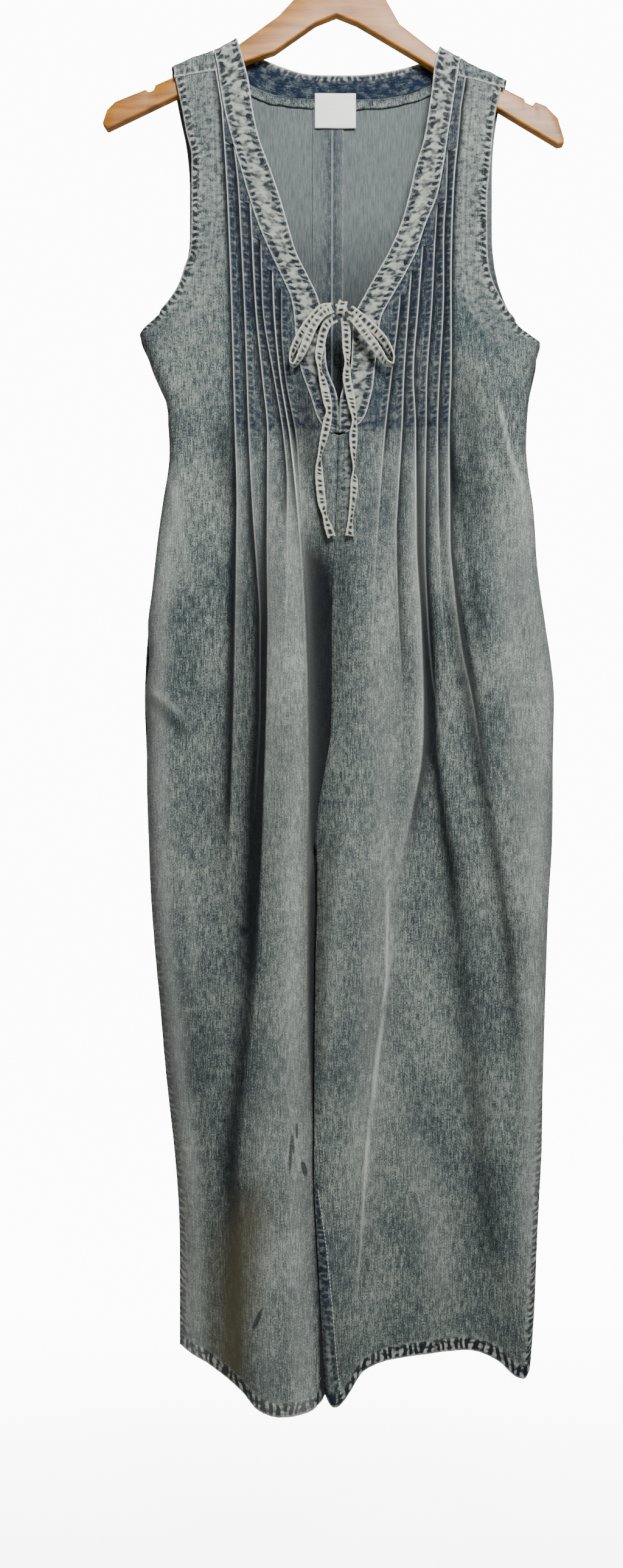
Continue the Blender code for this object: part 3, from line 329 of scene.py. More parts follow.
def washedDenim(name, look):
    # stone-washed slub denim: warp threads of uneven thickness give long pale and dark
    # streaks, and the wash bleaches ridges and leaves indigo in hollows; painted highlight on fold
    # crests and painted shade in folds and hollows are mixed into the same colour
    material, tree, shader = newMaterial(name)
    add = partial(addNode, tree)
    uv = add("UVMap", uv_map="cloth")
    marks = {key: add("Attribute", output="Fac", attribute_name=key)
             for key in ("seamRun", "seamDistance", "seamForce", "indigo", "hollow", "wear", "tint",
                         "inside")}

    # thread and wash, each noise a (source, size across, size down, detail, roughness)
    seam = add("CombineXYZ", (marks["seamRun"], marks["seamDistance"]))
    grain = {}
    for key, source, wide, tall, detail, rough in (
            ("slub", uv, look["slubWidth"], look["slubLength"], 3.0, 0.72),
            ("fine", uv, look["speckle"] * 0.6, look["speckle"] * 1.2, 2.0, 0.6),
            ("mottle", uv, look["mottle"], look["mottle"] * 1.3, 3.0, 0.62),
            ("cloud", uv, look["cloud"], look["cloud"] * 1.5, 2.0, 0.5),
            ("pucker", uv, look["puckerWide"], look["puckerTall"], 1.6, 0.55),
            # seam marks are in millimetres and the threads' map in metres
            ("sway", seam, 15000.0, 12000.0, 1.0, 0.5), ("broken", seam, 9000.0, 30000.0, 1.0, 0.5)):
        place = add("Mapping", {"Vector": source, "Scale": (1000 / wide, 1000 / tall, 1)})
        grain[key] = add("TexNoise", {"Vector": place, "Scale": 1.0, "Detail": detail,
                                      "Roughness": rough})
    weave = add("Mapping", {"Vector": uv, "Scale": (1000 / look["twill"], 1000 / look["twill"], 1)})
    twill = add("TexWave", {"Vector": weave, "Scale": 0.5, "Distortion": 0.6, "Detail": 1.0},
                output="Fac", wave_type="BANDS", bands_direction="DIAGONAL")
    tone = add("Math", (add("MapRange", (grain["fine"], 0.3, 0.7)), 0.40), **times)
    for key, low, high, share in (("slub", 0.36, 0.64, 0.28), ("mottle", 0.3, 0.7, 0.17),
                                  ("cloud", 0.35, 0.65, 0.14)):
        tone = add("Math", (add("MapRange", (grain[key], low, high)), share, tone), **plus)
    colour = add("ValToRGB", (tone,))
    stops = colour.node.color_ramp.elements
    stops[0].position, stops[0].color = 0.25, linear(look["dark"])
    stops[1].position, stops[1].color = 0.74, linear(look["light"])
    stops.new(0.47).color = linear(look["middle"])

    # pressed puckers along a seam, drawn in the seam's own run and distance: a ladder of
    # dark rungs beside the edge, and crooked patches over the rest of the doubled cloth
    distance = marks["seamDistance"]
    sway = add("MapRange", (grain["sway"], 0.3, 0.7, -look["rungSway"], look["rungSway"]))
    turn = add("Math", (add("Math", (marks["seamRun"], sway), operation="ADD"),
                        2 * math.pi / look["rungGap"]), **times)
    rungs = add("MapRange", (add("Math", (turn,), operation="SINE"), -0.35, 0.4))
    for source, *limits in ((distance, 0.9, 2.0), (distance, 5.8, 8.2, 1.0, 0.0),
                            (grain["broken"], 0.34, 0.46, 0.45, 1.0)):
        rungs = add("Math", (rungs, add("MapRange", (source, *limits))), **times)
    puckerTone = add("Math", (add("MapRange", (grain["pucker"], 0.38, 0.58, 0.05, 1.0)),
                              add("Math", (rungs, 1.2), **times)), operation="SUBTRACT")
    puckered = add("Mix", {0: add("Math", (puckerTone, 0.0), operation="MAXIMUM"),
                           6: linear(look["puckerDark"]), 7: linear(look["puckerLight"])}, **blend)
    speckled = add("MapRange", (grain["fine"], 0.25, 0.7, 0.8, 1.0))
    force = add("Math", (marks["seamForce"], speckled), **times)
    colour = add("Mix", {0: force, 6: colour, 7: puckered}, **blend)

    # indigo kept in folds and tucks, with painted shade in some; painted shade in their depths;
    # bleached edges, with painted highlight on some ridges; brownish tinted patches
    shares = dict(hollow=marks["hollow"], tint=marks["tint"])
    for key, mark, limits in (
            ("indigo", "indigo", (("mottle", 0.3, 0.72, 1.25, 0.6), ("slub", 0.3, 0.75, 1.1, 0.75))),
            ("bleachAndHighlight", "wear", (("fine", 0.25, 0.7, 0.7, 1.1),))):
        share = marks[mark]
        for noise, *ends in limits:
            share = add("Math", (share, add("MapRange", (grain[noise], *ends))), **times)
        shares[key] = add("Math", (share, 1.0), operation="MINIMUM")
    for key in ("indigo", "hollow", "bleachAndHighlight", "tint"):
        colour = add("Mix", {0: shares[key], 6: colour, 7: linear(look[key])}, **blend)
    if look["marks"]:
        parts = add("SeparateXYZ", (add("TexCoord", output="Object"),)).node.outputs
        stroke = 0.0
        for x, drop, longHalf, wideHalf, lean in look["marks"]:
            down = add("Math", (parts["Z"], drop * mm), operation="ADD")
            across = add("Math", (parts["X"], -x * mm), operation="ADD")
            across = add("Math", (down, lean, across), **plus)
            square = [add("Math", (add("Math", (way, half * mm), operation="DIVIDE"), 2.0),
                          operation="POWER") for way, half in ((across, wideHalf), (down, longHalf))]
            one = add("MapRange", (add("Math", square, operation="ADD"), 0.5, 1.15, 1.0, 0.0))
            stroke = add("Math", (one, stroke), operation="MAXIMUM")
        for source, *limits in ((parts["Y"], -0.012, -0.006, 0.85, 0.0),
                                (grain["fine"], 0.3, 0.7, 1.0, 0.75)):
            stroke = add("Math", (stroke, add("MapRange", (source, *limits))), **times)
        colour = add("Mix", {0: stroke, 6: colour, 7: linear(look["scuff"])}, **blend)

    # the cloth's inside, unwashed, and darker further down with painted shade deep inside the garment
    hidden = add("Mix", {0: add("MapRange", (grain["slub"], 0.3, 0.7)),
                         6: linear(look["inside"]), 7: linear(look["insidePale"])}, **blend)
    depth = add("MapRange", (add("SeparateXYZ", (uv,), "Y"), -0.30, -0.43, 0.0, 0.93))
    hidden = add("Mix", {0: depth, 6: hidden, 7: linear(look["hollow"])}, **blend)
    turned = add("Math", (marks["inside"], look["insideShare"]), **times)
    colour = add("Mix", {0: turned, 6: colour, 7: hidden}, **blend)

    height = add("Math", (grain["slub"], 0.5, add("Math", (grain["fine"], 0.4), **times)), **plus)
    height = add("Math", (twill, 0.18, height), **plus)
    height = add("Math", (add("Math", (puckerTone, marks["seamForce"]), **times), 0.9, height), **plus)
    bump = add("Bump", {"Strength": 0.55, "Distance": 0.0007, "Height": height})
    fill(tree, shader, {"Base Color": colour, "Normal": bump, "Roughness": 0.92,
                        "Specular IOR Level": 0.12, "Sheen Weight": 0.04, "Sheen Roughness": 0.6})
    return material


# front panels, the viewer's left is -1 and the right is 1

centreFront = ((522, 2), (538, 1), (572, 0), (615, -2), (700, -5), (740, -5), (805, -6),
               (839, -11), (872, -17), (919, -22))
centreFrontForward = ((400, 18), (522, 24), (620, 23), (700, 20), (780, 16), (840, 12),
                      (880, 7), (919, 1))
belly = ((150, 10), (262, 12), (345, 15), (420, 19), (520, 24), (620, 27), (700, 28),
         (920, 28), (1150, 30), (1212, 32))
cut = dict(placketFoot=522, crotch=919, hemFrom=1212, hemLevel=1405, tuckFoot=520,
           stripLine=((1170, -24), (1241, -17.9), (1294, -9.9), (1345, -4.8), (1393, -0.8),
                      (1427, 3.2)),
           wall=1.3, tuckRise=2.2, tuckDepth=5.4, bandClear=0.5, seamHalf=0.15, hemStitch=13.5)
edgeRoll = ((0.0, 0.0), (1.6, 0.5), (5.0, 0.82), (12.0, 1.0))
pleatColumns = ((0.8, 0.1), (2.0, 0.24), (3.6, 0.4), (5.4, 0.55))
steepWidths = ((520, 0.9), (700, 3), (1000, 5), (1212, 7))
softness = ((205, 0.5), (505, 0.5), (540, 1.0), (600, 1.8), (700, 2.6), (900, 4.0), (1212, 6.0))
foldLine = ((205, 1.0), (516, 1.0), (550, 0.75), (590, 0.4), (650, 0.2), (760, 0.08), (900, 0.0),
            (1212, 0.0))
foldShade = ((205, 1.0), (516, 1.0), (560, 1.0), (760, 1.0), (900, 0.9), (1050, 0.65),
             (1212, 0.45))
shadeWidth = ((205, 3.2), (516, 3.8), (620, 5.0), (800, 6.5), (1212, 9.0))
# how strongly the wash marks each place, and how strong the painted highlight on fold crests and the
# painted shade beside folds and in hollows are
wash = dict(edgeLine=0.1, ridge=0.16, ridgeWidth=6.0, shade=0.96, tuckIndigo=0.42,
            belowTucks=0.22, reliefWearAndHighlight=0.16, reliefIndigoAndShade=0.45, reliefShade=0.75,
            lastWallShade=0.9, puckerGap=6.3, hemRope=6.4)

# folds from the side towards the centre: where the edge runs, its rise over the cloth and
# its step down on the outer side, each by drop; line is how pale the edge stays
leftFront = dict(
    armhole=((170, -157), (181, -154), (228, -145), (252, -140), (304, -140), (339, -141), (360, -147),
             (379, -154), (402, -171), (415, -185), (421, -191)),
    side=((421, -191), (442, -183), (457, -178), (473, -171), (487, -165), (511, -163), (533, -162),
          (550, -163), (580, -168), (615, -173), (669, -179), (704, -183), (734, -182), (772, -186),
          (804, -184), (845, -184), (916, -182), (964, -180), (1018, -176), (1072, -171), (1140, -165),
          (1202, -158), (1268, -153), (1323, -152), (1398, -152)),
    band=((146, -119), (170, -114), (197, -110), (227, -103), (258, -94), (289, -85), (319, -75),
          (345, -64), (371, -52), (390, -44), (408, -41), (421, -40), (457, -35), (486, -25),
          (509, -17), (516, -12), (522, -3)),
    inseam=((919, -23), (930, -20), (945, -17), (975, -14.5), (1012, -13), (1150, -12), (1212, -11),
            (1398, -7)),
    inseamForward=((919, 0), (930, -6), (945, -9.5), (975, -12), (1012, -13), (1150, -11), (1400, -6)),
    sideForward=((0, 0), (1500, 0)),
    shoulder=((-157, 176), (-119, 169)),
    hem=((-152, 1398, 0), (-143, 1400, 14), (-126, 1406, 27), (-108, 1412, 45), (-91, 1421, 62),
         (-79, 1430, 75), (-57, 1434, 85), (-38, 1432, 82), (-26, 1430, 68), (-18, 1425, 42),
         (-15, 1419, 0)),
    sidePuckers=((900, 0.0), (960, 0.6), (1100, 1.0)),
    facing=((-118, 176), (-117, 243), (-115.5, 302), (-121, 354), (-129, 389), (-138, 411),
            (-143.4, 418), (-160, 434), (-179.6, 446)),
    folds=(
        dict(start=175, line=1.0,
             x=((183, -112), (240, -108), (290, -105), (362, -102), (520, -97), (586, -95), (766, -97),
                (850, -99), (1012, -106), (1212, -120)),
             rise=((520, 0), (580, 3), (640, 5), (780, 4), (860, 2), (1000, 0)),
             step=((520, 2.2), (580, 4), (700, 5), (780, 4), (920, 1), (1000, 0))),
        dict(start=240, line=0.9,
             x=((240, -99), (276, -95), (328, -92), (409, -88), (520, -84), (594, -80), (649, -76),
                (700, -73), (780, -73), (862, -77), (1012, -87), (1212, -105)),
             rise=((520, 0), (580, 1), (700, -3), (860, -3), (920, -1), (1212, 0)),
             step=((520, 2.2), (580, 3), (640, 1), (700, 0))),
        dict(start=296, line=1.6,
             x=((289, -84), (319, -82), (362, -80), (409, -77), (468, -71), (523, -66), (631, -66),
                (700, -65), (779, -66), (858, -68), (919, -70), (1054, -76), (1159, -86), (1212, -91)),
             rise=((520, 0), (580, 5), (620, 8), (700, 10), (920, 11), (1150, 14), (1212, 16)),
             step=((520, 2.2), (620, 6), (700, 8), (1010, 9), (1212, 11))),
        dict(start=334, line=0.6,
             x=((326, -73), (371, -72), (409, -70), (468, -60), (523, -51), (573, -47), (1050, -54),
                (1212, -62)),
             rise=((520, 0), (580, 8), (620, 12), (780, 15), (920, 17), (1010, 20), (1212, 34)),
             step=((520, 2.2), (580, 2.5), (620, 0.5), (700, 0))),
        dict(start=364, line=1.5,
             x=((356, -62), (409, -60), (468, -54), (523, -45), (611, -36), (700, -31), (858, -28),
                (919, -30), (1041, -30), (1146, -28), (1212, -27)),
             rise=((520, 0), (580, 6), (620, 10), (700, 13), (860, 17), (1010, 22), (1212, 30)),
             step=((520, 2.2), (580, 2), (640, 0.5), (700, 0))),
        dict(start=380, line=0.3,
             x=((371, -53), (409, -53), (468, -49), (523, -39), (573, -35), (640, -31), (700, -27),
                (780, -25.5), (858, -24.5), (900, -26), (960, -26), (1041, -25.5), (1146, -24.5),
                (1212, -23)),
             rise=((520, 0), (600, -1), (660, -8), (780, -12), (920, -16), (1212, -18)),
             step=((520, 2.2), (580, 0)))),
    # path, then height, width, pale (painted highlight) and dark (painted shade) of a pressed crease or
    # of a painted band of light or shade
    creasesAndShading=(
        (((-184, 770), (-170, 785), (-154, 802), (-137, 817)), -2.2, 5, 0, 0.5),
        (((-181, 763), (-163, 775), (-142, 795)), 1.2, 6, 0.2, 0),
        (((-96, 992), (-86, 995), (-76, 993)), -0.9, 2.5, 0, 0.35),
        (((-150, 1201), (-136, 1203), (-121, 1202)), 0.7, 2.5, 0.25, 0.15),
        (((-165, 545), (-150, 600), (-140, 680)), 1.4, 9, 0.12, 0),
        (((-150, 900), (-138, 980), (-134, 1080)), 1.6, 14, 0.1, 0),
        (((-120, 840), (-116, 930), (-118, 1010)), -1.2, 8, 0, 0.18),
        (((-150, 1000), (-128, 1200), (-122, 1420)), 0, 36, 0, 0.32),
        (((-61, 590), (-60, 780), (-64, 1000)), 0, 7, 0, 0.25),
        (((-92, 540), (-90, 700), (-88, 860), (-89, 940), (-95, 1020), (-101, 1120)), 0, 14, 0, 0.5),
        (((-172, 560), (-176, 800), (-169, 1050), (-149, 1330)), 0, 15, 0, 0.42),
        (((-30, 440), (-22, 520), (-15, 600), (-14, 750), (-21, 900)), 0, 9, 0, 0.5),
        (((-34, 440), (-32, 500), (-30, 590)), 0, 10, 0, 0.45),
        (((-112, 500), (-108, 540), (-105, 600)), 0, 9, 0, 0.5)),
    tints=((((-72, 1203), (-88, 1288), (-99, 1402)), 17, 0.62),
           (((-115, 1235), (-116, 1407)), 9, 0.25)))

rightFront = dict(
    armhole=((183, 159), (195, 156), (218, 152), (261, 148), (296, 145), (330, 145), (365, 148),
             (381, 154), (402, 166), (418, 180), (431, 198)),
    side=((431, 198), (452, 192), (468, 189), (490, 186), (507, 184), (528, 184), (563, 187),
          (589, 191), (615, 192), (655, 196), (704, 203), (737, 208), (772, 211), (831, 210),
          (916, 209), (964, 206), (1045, 203), (1153, 199), (1214, 197), (1296, 191), (1363, 186),
          (1424, 180)),
    band=((153, 120), (175, 116), (195, 113), (214, 110), (244, 105), (286, 98), (310, 88), (333, 81),
          (357, 71), (376, 60), (394, 50), (408, 43), (424, 40), (449, 38), (466, 35), (492, 31),
          (509, 24), (516, 16), (522, 7)),
    inseam=((919, -21), (966, -20), (1012, -21), (1150, -22), (1231, -22), (1270, -20), (1335, -16),
            (1400, -12)),
    inseamForward=((919, 1), (1012, 6), (1150, 22), (1212, 30), (1400, 54)),
    sideForward=((431, 0), (1000, 0), (1212, 12), (1409, 38)),
    shoulder=((118, 174), (161, 186)),
    hem=((-12, 1425, 54), (-7, 1433, 60), (-1, 1436, 58), (6, 1433, 50), (13, 1427, 40), (23, 1415, 30),
         (36, 1410, 22), (58, 1407, 14), (81, 1405, 10), (112, 1402, 8), (126, 1401, 9),
         (140, 1403, 13), (154, 1407, 24), (165, 1413, 40), (174, 1414, 46), (180, 1409, 38)),
    sidePuckers=((1100, 0.0), (1160, 0.6), (1260, 1.0)),
    facing=((131, 184), (130, 196), (125.4, 249), (123.6, 307), (124.2, 360), (128.3, 394), (140, 417),
            (157.5, 435), (172.7, 449), (187.3, 457)),
    folds=(
        dict(start=188, line=1.0,
             x=((182, 121), (231, 117), (272, 113), (345, 110), (466, 109), (518, 107), (620, 107),
                (673, 111), (726, 118), (779, 129), (832, 138), (872, 148), (919, 156), (1001, 165),
                (1212, 160)),
             rise=((520, 0), (580, 4), (673, 5), (779, 3), (872, 0), (1212, 0)),
             step=((520, 2.2), (580, 3), (700, 3), (800, 1), (860, 0))),
        dict(start=246, line=0.8,
             x=((233, 107), (293, 105), (319, 103), (397, 102), (466, 98), (518, 96), (620, 97),
                (700, 101), (779, 110), (858, 119), (1001, 119), (1212, 112)),
             rise=((520, 0), (620, 0), (700, -1), (779, -3), (858, -5), (1001, -4), (1212, -1)),
             step=((520, 2.2), (580, 2), (660, 0))),
        dict(start=298, line=0.8,
             x=((289, 97), (338, 94), (397, 91), (466, 86), (518, 85), (620, 84), (686, 86), (753, 91),
                (792, 97), (840, 100), (919, 94), (1212, 84)),
             rise=((520, 0), (620, -2), (700, -3), (790, -3), (858, -2), (930, 0)),
             step=((520, 2.2), (580, 1), (660, 0))),
        dict(start=338, line=1.5,
             x=((333, 83), (397, 78), (466, 73), (518, 75), (620, 75), (700, 79), (779, 81), (832, 79),
                (872, 72), (919, 62), (975, 51), (1041, 47), (1080, 40), (1133, 33), (1212, 27)),
             rise=((520, 0), (580, 5), (620, 7), (860, 8), (1212, 7)),
             step=((520, 2.2), (580, 4), (700, 5), (840, 3), (919, 1), (960, 0))),
        dict(start=364, line=0.9,
             x=((357, 72), (397, 69), (466, 64), (518, 62), (580, 58), (620, 56), (700, 58), (763, 61),
                (832, 58), (872, 50), (919, 38), (1010, 24), (1150, 14), (1212, 9)),
             rise=((520, 0), (580, 2), (700, 4), (780, 3), (860, 2), (1212, 2)),
             step=((520, 2.2), (580, 2), (700, 1.5), (780, 0))),
        dict(start=386, line=0.7,
             x=((380, 61), (397, 60), (466, 52), (518, 46), (620, 38), (700, 34), (780, 30), (860, 18),
                (919, 4), (1010, -6), (1150, -12), (1212, -13)),
             rise=((520, 0), (580, 2), (700, 2), (860, 2), (1212, 2)),
             step=((520, 2.2), (580, 0)))),
    # path, then height, width, pale (painted highlight) and dark (painted shade) of a pressed crease or
    # of a painted band of light or shade
    creasesAndShading=(
        (((162, 775), (185, 772.5), (208, 771)), -1.3, 3, 0, 0.45),
        (((162, 780), (185, 778), (206, 777)), 1.0, 4, 0.15, 0),
        (((152, 481), (165, 541), (181, 585)), 1.8, 4, 0.45, 0),
        (((146, 487), (158, 545), (172, 590)), -1.2, 5, 0, 0.2),
        (((53.6, 620), (56.5, 687), (63, 763)), -1.0, 2.5, 0, 0.4),
        (((44.5, 862), (46.3, 920), (48.1, 949), (47.5, 978), (47, 1036), (38, 1115), (27, 1207),
          (23, 1285), (15, 1390)), 1.2, 2.6, 0.46, 0),
        (((51, 870), (54, 975), (53, 1040), (44, 1120), (34, 1207), (30, 1285),
          (22, 1380)), -1.0, 5, 0, 0.2),
        (((49.6, 985), (53, 1012), (49.6, 1035)), 0.9, 2.5, 0.25, 0.1),
        (((-0.7, 1184), (6.7, 1192), (13.6, 1196)), -0.8, 2.5, 0, 0.35),
        (((82.5, 500), (82, 600), (83, 659), (87, 725), (93, 823), (102.5, 900), (109.5, 938),
          (117, 1017)), -3.0, 6, 0, 0.95),
        (((96, 850), (109.5, 938), (117, 1017), (128, 1115), (138, 1233),
          (157, 1400)), -1.5, 12, 0, 0.6),
        (((103, 620), (109.4, 675), (119.2, 744), (129, 799), (137, 842), (143, 880), (153, 939),
          (164, 1017), (170, 1095), (174, 1180)), -2.0, 7.5, 0, 0.72),
        (((150, 560), (160, 640), (166, 700), (173, 780), (178, 860), (184, 940),
          (190, 1020)), 0.5, 30, 0.15, 0),
        (((46, 600), (46, 780), (46, 860), (44, 940), (38, 1020), (30, 1120), (20, 1240),
          (16, 1380)), 0, 36, 0.15, 0),
        (((60, 1150), (90, 1260), (108, 1400)), 0, 36, 0.1, 0),
        (((122, 430), (126, 490), (131, 560), (142, 640)), 0, 15, 0, 0.55),
        (((108, 500), (111.6, 550), (125, 628), (136.7, 706), (142, 775)), -1.5, 6, 0, 0.5),
        (((7, 560), (5, 700), (-2, 810)), 0, 9, 0, 0.45)),
    tints=())
fronts = {-1: leftFront, 1: rightFront}

def frontSections(hand):
    # plain sections of one front: distance from the side, forward, and the folds' places
    p = fronts[hand]
    underarm = p["side"][0][0]
    drops = np.concatenate([np.arange(205, 540, 3.0), np.arange(540, 1170, 5.0),
                            np.linspace(1170, 1212, 13), np.linspace(1212, 1384, 52)[1:],
                            np.linspace(1386.2, 1405, 10)])
    banded, risen = drops < cut["placketFoot"], drops < cut["crotch"]
    sideX = np.where(drops < underarm, along(p["armhole"], drops), along(p["side"], drops))
    centreX = np.where(banded, along(p["band"], drops), np.where(
        risen, along(centreFront, drops), along(p["inseam"], drops)))
    centreX = centreX + hand * np.where(drops <= cut["placketFoot"], cut["bandClear"],
                                        cut["seamHalf"])
    out = along(belly, drops)
    centreF = np.where(banded, out, np.where(
        risen, along(centreFrontForward, drops), along(p["inseamForward"], drops)))
    edgeF = np.where(drops < underarm - 20, out * 0.8, np.where(
        drops < underarm, out * 0.35, along(p["sideForward"], drops)))
    width = (sideX - centreX) * hand
    mainS = [np.full_like(drops, inset) for inset, _ in edgeRoll]
    mainF = [edgeF + (out - edgeF) * share for _, share in edgeRoll]
    firstX = along(p["folds"][0]["x"], drops)
    lastX = sideX - hand * edgeRoll[-1][0]
    lastX = lastX + (firstX - lastX) * 0.75
    mainS.append((sideX - lastX) * hand)
    mainF.append(out)
    steep = straight(steepWidths, drops)
    released = smoothStep(drops, 512, 540)
    folds = []
    for number, fold in enumerate(p["folds"]):
        live = drops >= fold["start"]
        left = len(p["folds"]) - number
        waiting = centreX + (lastX - centreX) * (left / (left + 1))
        x = np.where(live, along(fold["x"], drops), waiting)
        room = np.abs(lastX - x) * 0.45
        footX = x + hand * np.where(live, np.minimum(steep, room), room)
        rise = np.where(drops < cut["tuckFoot"], 0, along(fold["rise"], drops))
        step = along(fold["step"], drops)
        mainS += [(sideX - footX) * hand, (sideX - x) * hand]
        mainF += [out + np.where(live, rise - step * released, 0), out + np.where(live, rise, 0)]
        sewn = np.where(live, 1 - smoothStep(drops, 515, 536), 0) * cut["tuckRise"]
        folds.append(dict(foot=mainS[-2][:, None], edge=mainS[-1][:, None], sewn=sewn[:, None],
                          live=live[:, None], line=fold["line"], start=fold["start"],
                          step=(step * live)[:, None]))
        lastX = x
    mainS += [(mainS[-1] + width) / 2, width]
    mainF += [(mainF[-1] + centreF) / 2, centreF]
    return drops, sideX, centreX, width, np.stack(mainS, 1), np.stack(mainF, 1), folds


def frontColumns(width, folds):
    # where the columns of the fine mesh stand, close together at every fold's edge
    columns = [np.full_like(width, s) for s in (0, 0.7, 1.6, 3.2, 5, 8, 12)]
    start = columns[-1]
    for number, stop in enumerate([fold["foot"] for fold in folds] + [width]):
        if number:
            gap = stop - start
            columns += [start + np.minimum(away, gap * share) for away, share in pleatColumns]
            start = columns[-1]
        pieces = 22 if number == 0 else 4 if number < len(folds) else 7
        last = pieces if number < len(folds) else pieces + 1
        columns += [start + (stop - start) * step / pieces for step in range(1, last)]
        if number < len(folds):
            edge = folds[number]["edge"]
            columns += [stop + (edge - stop) * share for share in (0.0, 0.5, 1.0)]
            start = edge
    return np.concatenate(columns, axis=1)


def keepEnds(values, spacing, sigma):
    # a soft blur along one section that leaves its two ends where they are
    reach = min(int(3 * sigma / spacing), len(values) - 1)
    if reach < 1:
        return values
    weights = np.exp(-0.5 * (np.arange(-reach, reach + 1) * spacing / sigma) ** 2)
    before = 2 * values[0] - values[reach:0:-1]
    beyond = 2 * values[-1] - values[-2:-reach - 2:-1]
    return np.convolve(np.concatenate([before, values, beyond]), weights / weights.sum(), "valid")


def foldMarks(hand, drops, width, s, folds, relief):
    # the tucks' thickness, the pale worn line of each edge, a painted highlight on the ridge inside it,
    # and the painted shade and kept indigo beside it
    down = drops[:, None]
    tuck, wear, hollow, indigo = (np.zeros_like(s) for _ in range(4))
    tuckRung = np.full_like(s, 99.0)
    for number, fold in enumerate(folds):
        edge, foot, live = fold["edge"], fold["foot"], fold["live"]
        limit = folds[number + 1]["foot"] if number < len(folds) - 1 else width
        depth = np.minimum(cut["tuckDepth"], (limit - edge) * 0.8)
        beyond = (s - edge) / np.maximum(depth, 0.1)
        lying = np.clip(1 - beyond, 0, 1) ** 0.7 * (beyond >= -1e-6)
        climb = np.clip((s - foot) / np.maximum(edge - foot, 0.01), 0, 1) * (s < edge)
        tuck += fold["sewn"] * np.maximum(lying, climb)
        tuckRung = np.where((beyond >= 0) & (beyond < 1.2) & (s < limit), s - edge + 1, tuckRung)
        line = straight(foldLine, down) * fold["line"] * live * smoothStep(
            down, fold["start"] - 1, fold["start"] + 8)
        wear += np.clip(line, 0, 1) * peak(s, 0.5, edge + wash["edgeLine"])
        # inside each edge the ridge is paler: partly wear, partly painted highlight
        fade = (800, 1000) if fold["line"] > 1.4 else (600, 740)
        ridge = smoothStep(down, 516, 560) * (1 - smoothStep(down, *fade))
        wear += wash["ridge"] * ridge * np.clip(fold["line"] * live, 0, 1) * (s >= edge) * np.exp(
            -np.clip(s - edge, 0, None) / wash["ridgeWidth"])
        # painted shade on the outer side of each fold's edge, where its step falls away
        shade = straight(foldShade, down) * np.clip(fold["step"] / cut["tuckRise"], 0, 1) * live
        outside = np.clip(foot - s, 0, None) / straight(shadeWidth, down)
        hollow = np.maximum(hollow, wash["shade"] * np.clip(shade, 0, 1) * np.exp(
            -outside ** 1.5) * np.clip((edge - s) / 0.5, 0, 1))
    inTucks = smoothStep(s - folds[0]["foot"], -5, 1)
    indigo += inTucks * (wash["tuckIndigo"] * (1 - smoothStep(down, 500, 540))
                         + wash["belowTucks"] * (1 - smoothStep(down, 540, 720)))
    # paler on the drape's crests and darker in its hollows: partly the wash's wear and kept indigo,
    # partly painted highlight and painted shade; the darkest part is painted shade only
    free = smoothStep(down, 520, 600)
    if hand > 0:    # this front's innermost folds lie calmer over the hip
        free = free - 0.6 * smoothStep(down, 700, 800) * (s > folds[4]["edge"])
    wear += np.clip((relief - 0.5) / 5, 0, 1) * wash["reliefWearAndHighlight"] * free
    indigo += np.clip((-relief - 1.0) / 5, 0, 1) * wash["reliefIndigoAndShade"] * free
    hollow += np.clip((-relief - 1.3) / 5, 0, 1) * wash["reliefShade"] * free
    if hand < 0:    # painted shade on the wall of the last fold, which falls away behind the other leg
        hollow += wash["lastWallShade"] * smoothStep(down, 600, 700) * smoothStep(
            s - folds[4]["edge"] - 5 * smoothStep(down, 1100, 1212), 0.3, 2.6)
    return [tuck, wear, indigo, hollow, inTucks, tuckRung]


def hemRows(hem, hand, drops, start, x, level, forward, sideX, centreX):
    # every row below the start leans further into the hem's own curve
    spread = (x[start] - x[start, 0]) / (x[start, -1] - x[start, 0])
    first, last = (hem[0][0], hem[-1][0]) if hand < 0 else (hem[-1][0], hem[0][0])
    hemX = first + (last - first) * spread
    hemLevel, hemForward = along(hem, hemX, 1), along(hem, hemX, 2)
    plainX, plainF = x[start].copy(), forward[start].copy()
    for r in range(start + 1, len(drops)):
        t = (drops[r] - cut["hemFrom"]) / (cut["hemLevel"] - cut["hemFrom"])
        between = plainX + (hemX - plainX) * t
        x[r] = sideX[r] + (between - between[0]) * (
            (centreX[r] - sideX[r]) / (between[-1] - between[0]))
        forward[r] = plainF + (hemForward - plainF) * t * t * (3 - 2 * t)
        level[r] = cut["hemFrom"] + (hemLevel - cut["hemFrom"]) * t
    return hemX, hemLevel, hemForward


def seamMarks(options):
    # at each point the seam that shows most gives its run, distance and strength
    shape = options[0][2].shape
    run, distance, force = (np.stack([np.broadcast_to(o[k], shape) for o in options])
                            for k in range(3))
    pick = force.argmax(axis=0)[None]
    return dict(seamRun=np.take_along_axis(run, pick, 0)[0],
                seamDistance=np.take_along_axis(distance, pick, 0)[0],
                seamForce=np.clip(force.max(axis=0), 0, 1))


def pressCreasesAndShading(p, x, level, forward, wear, hollow):
    # pressed creases, and bands of painted highlight and painted shade along the same paths
    for path, height, width, pale, dark in p["creasesAndShading"]:
        away, place = pathDistance(x, level, path)
        ends = smoothStep(place, -0.01, 0.25) * (1 - smoothStep(place, 0.7, 1.01))
        forward += height * peak(away, width) * ends
        wear += pale * peak(away, width * 0.45) * ends
        hollow += dark * peak(away, width) * ends


def closeEdges(outer, inner, level, hand, facing, underarm):
    # meets the other half at the rise seam, and the other side at side seam and inseam
    rise = level[:, -1] < cut["crotch"]
    inner[rise, -1] = outer[rise, -1] - np.array((0, facing * cut["wall"] * mm, 0))
    for rows, column, inward in ((level[:, 0] > underarm - 4, 0, -hand), (~rise, -1, hand)):
        outer[rows, column, 1] += facing * cut["seamHalf"] * mm
        inner[rows, column] = outer[rows, column] + np.array((inward * cut["wall"] * mm, 0, 0))


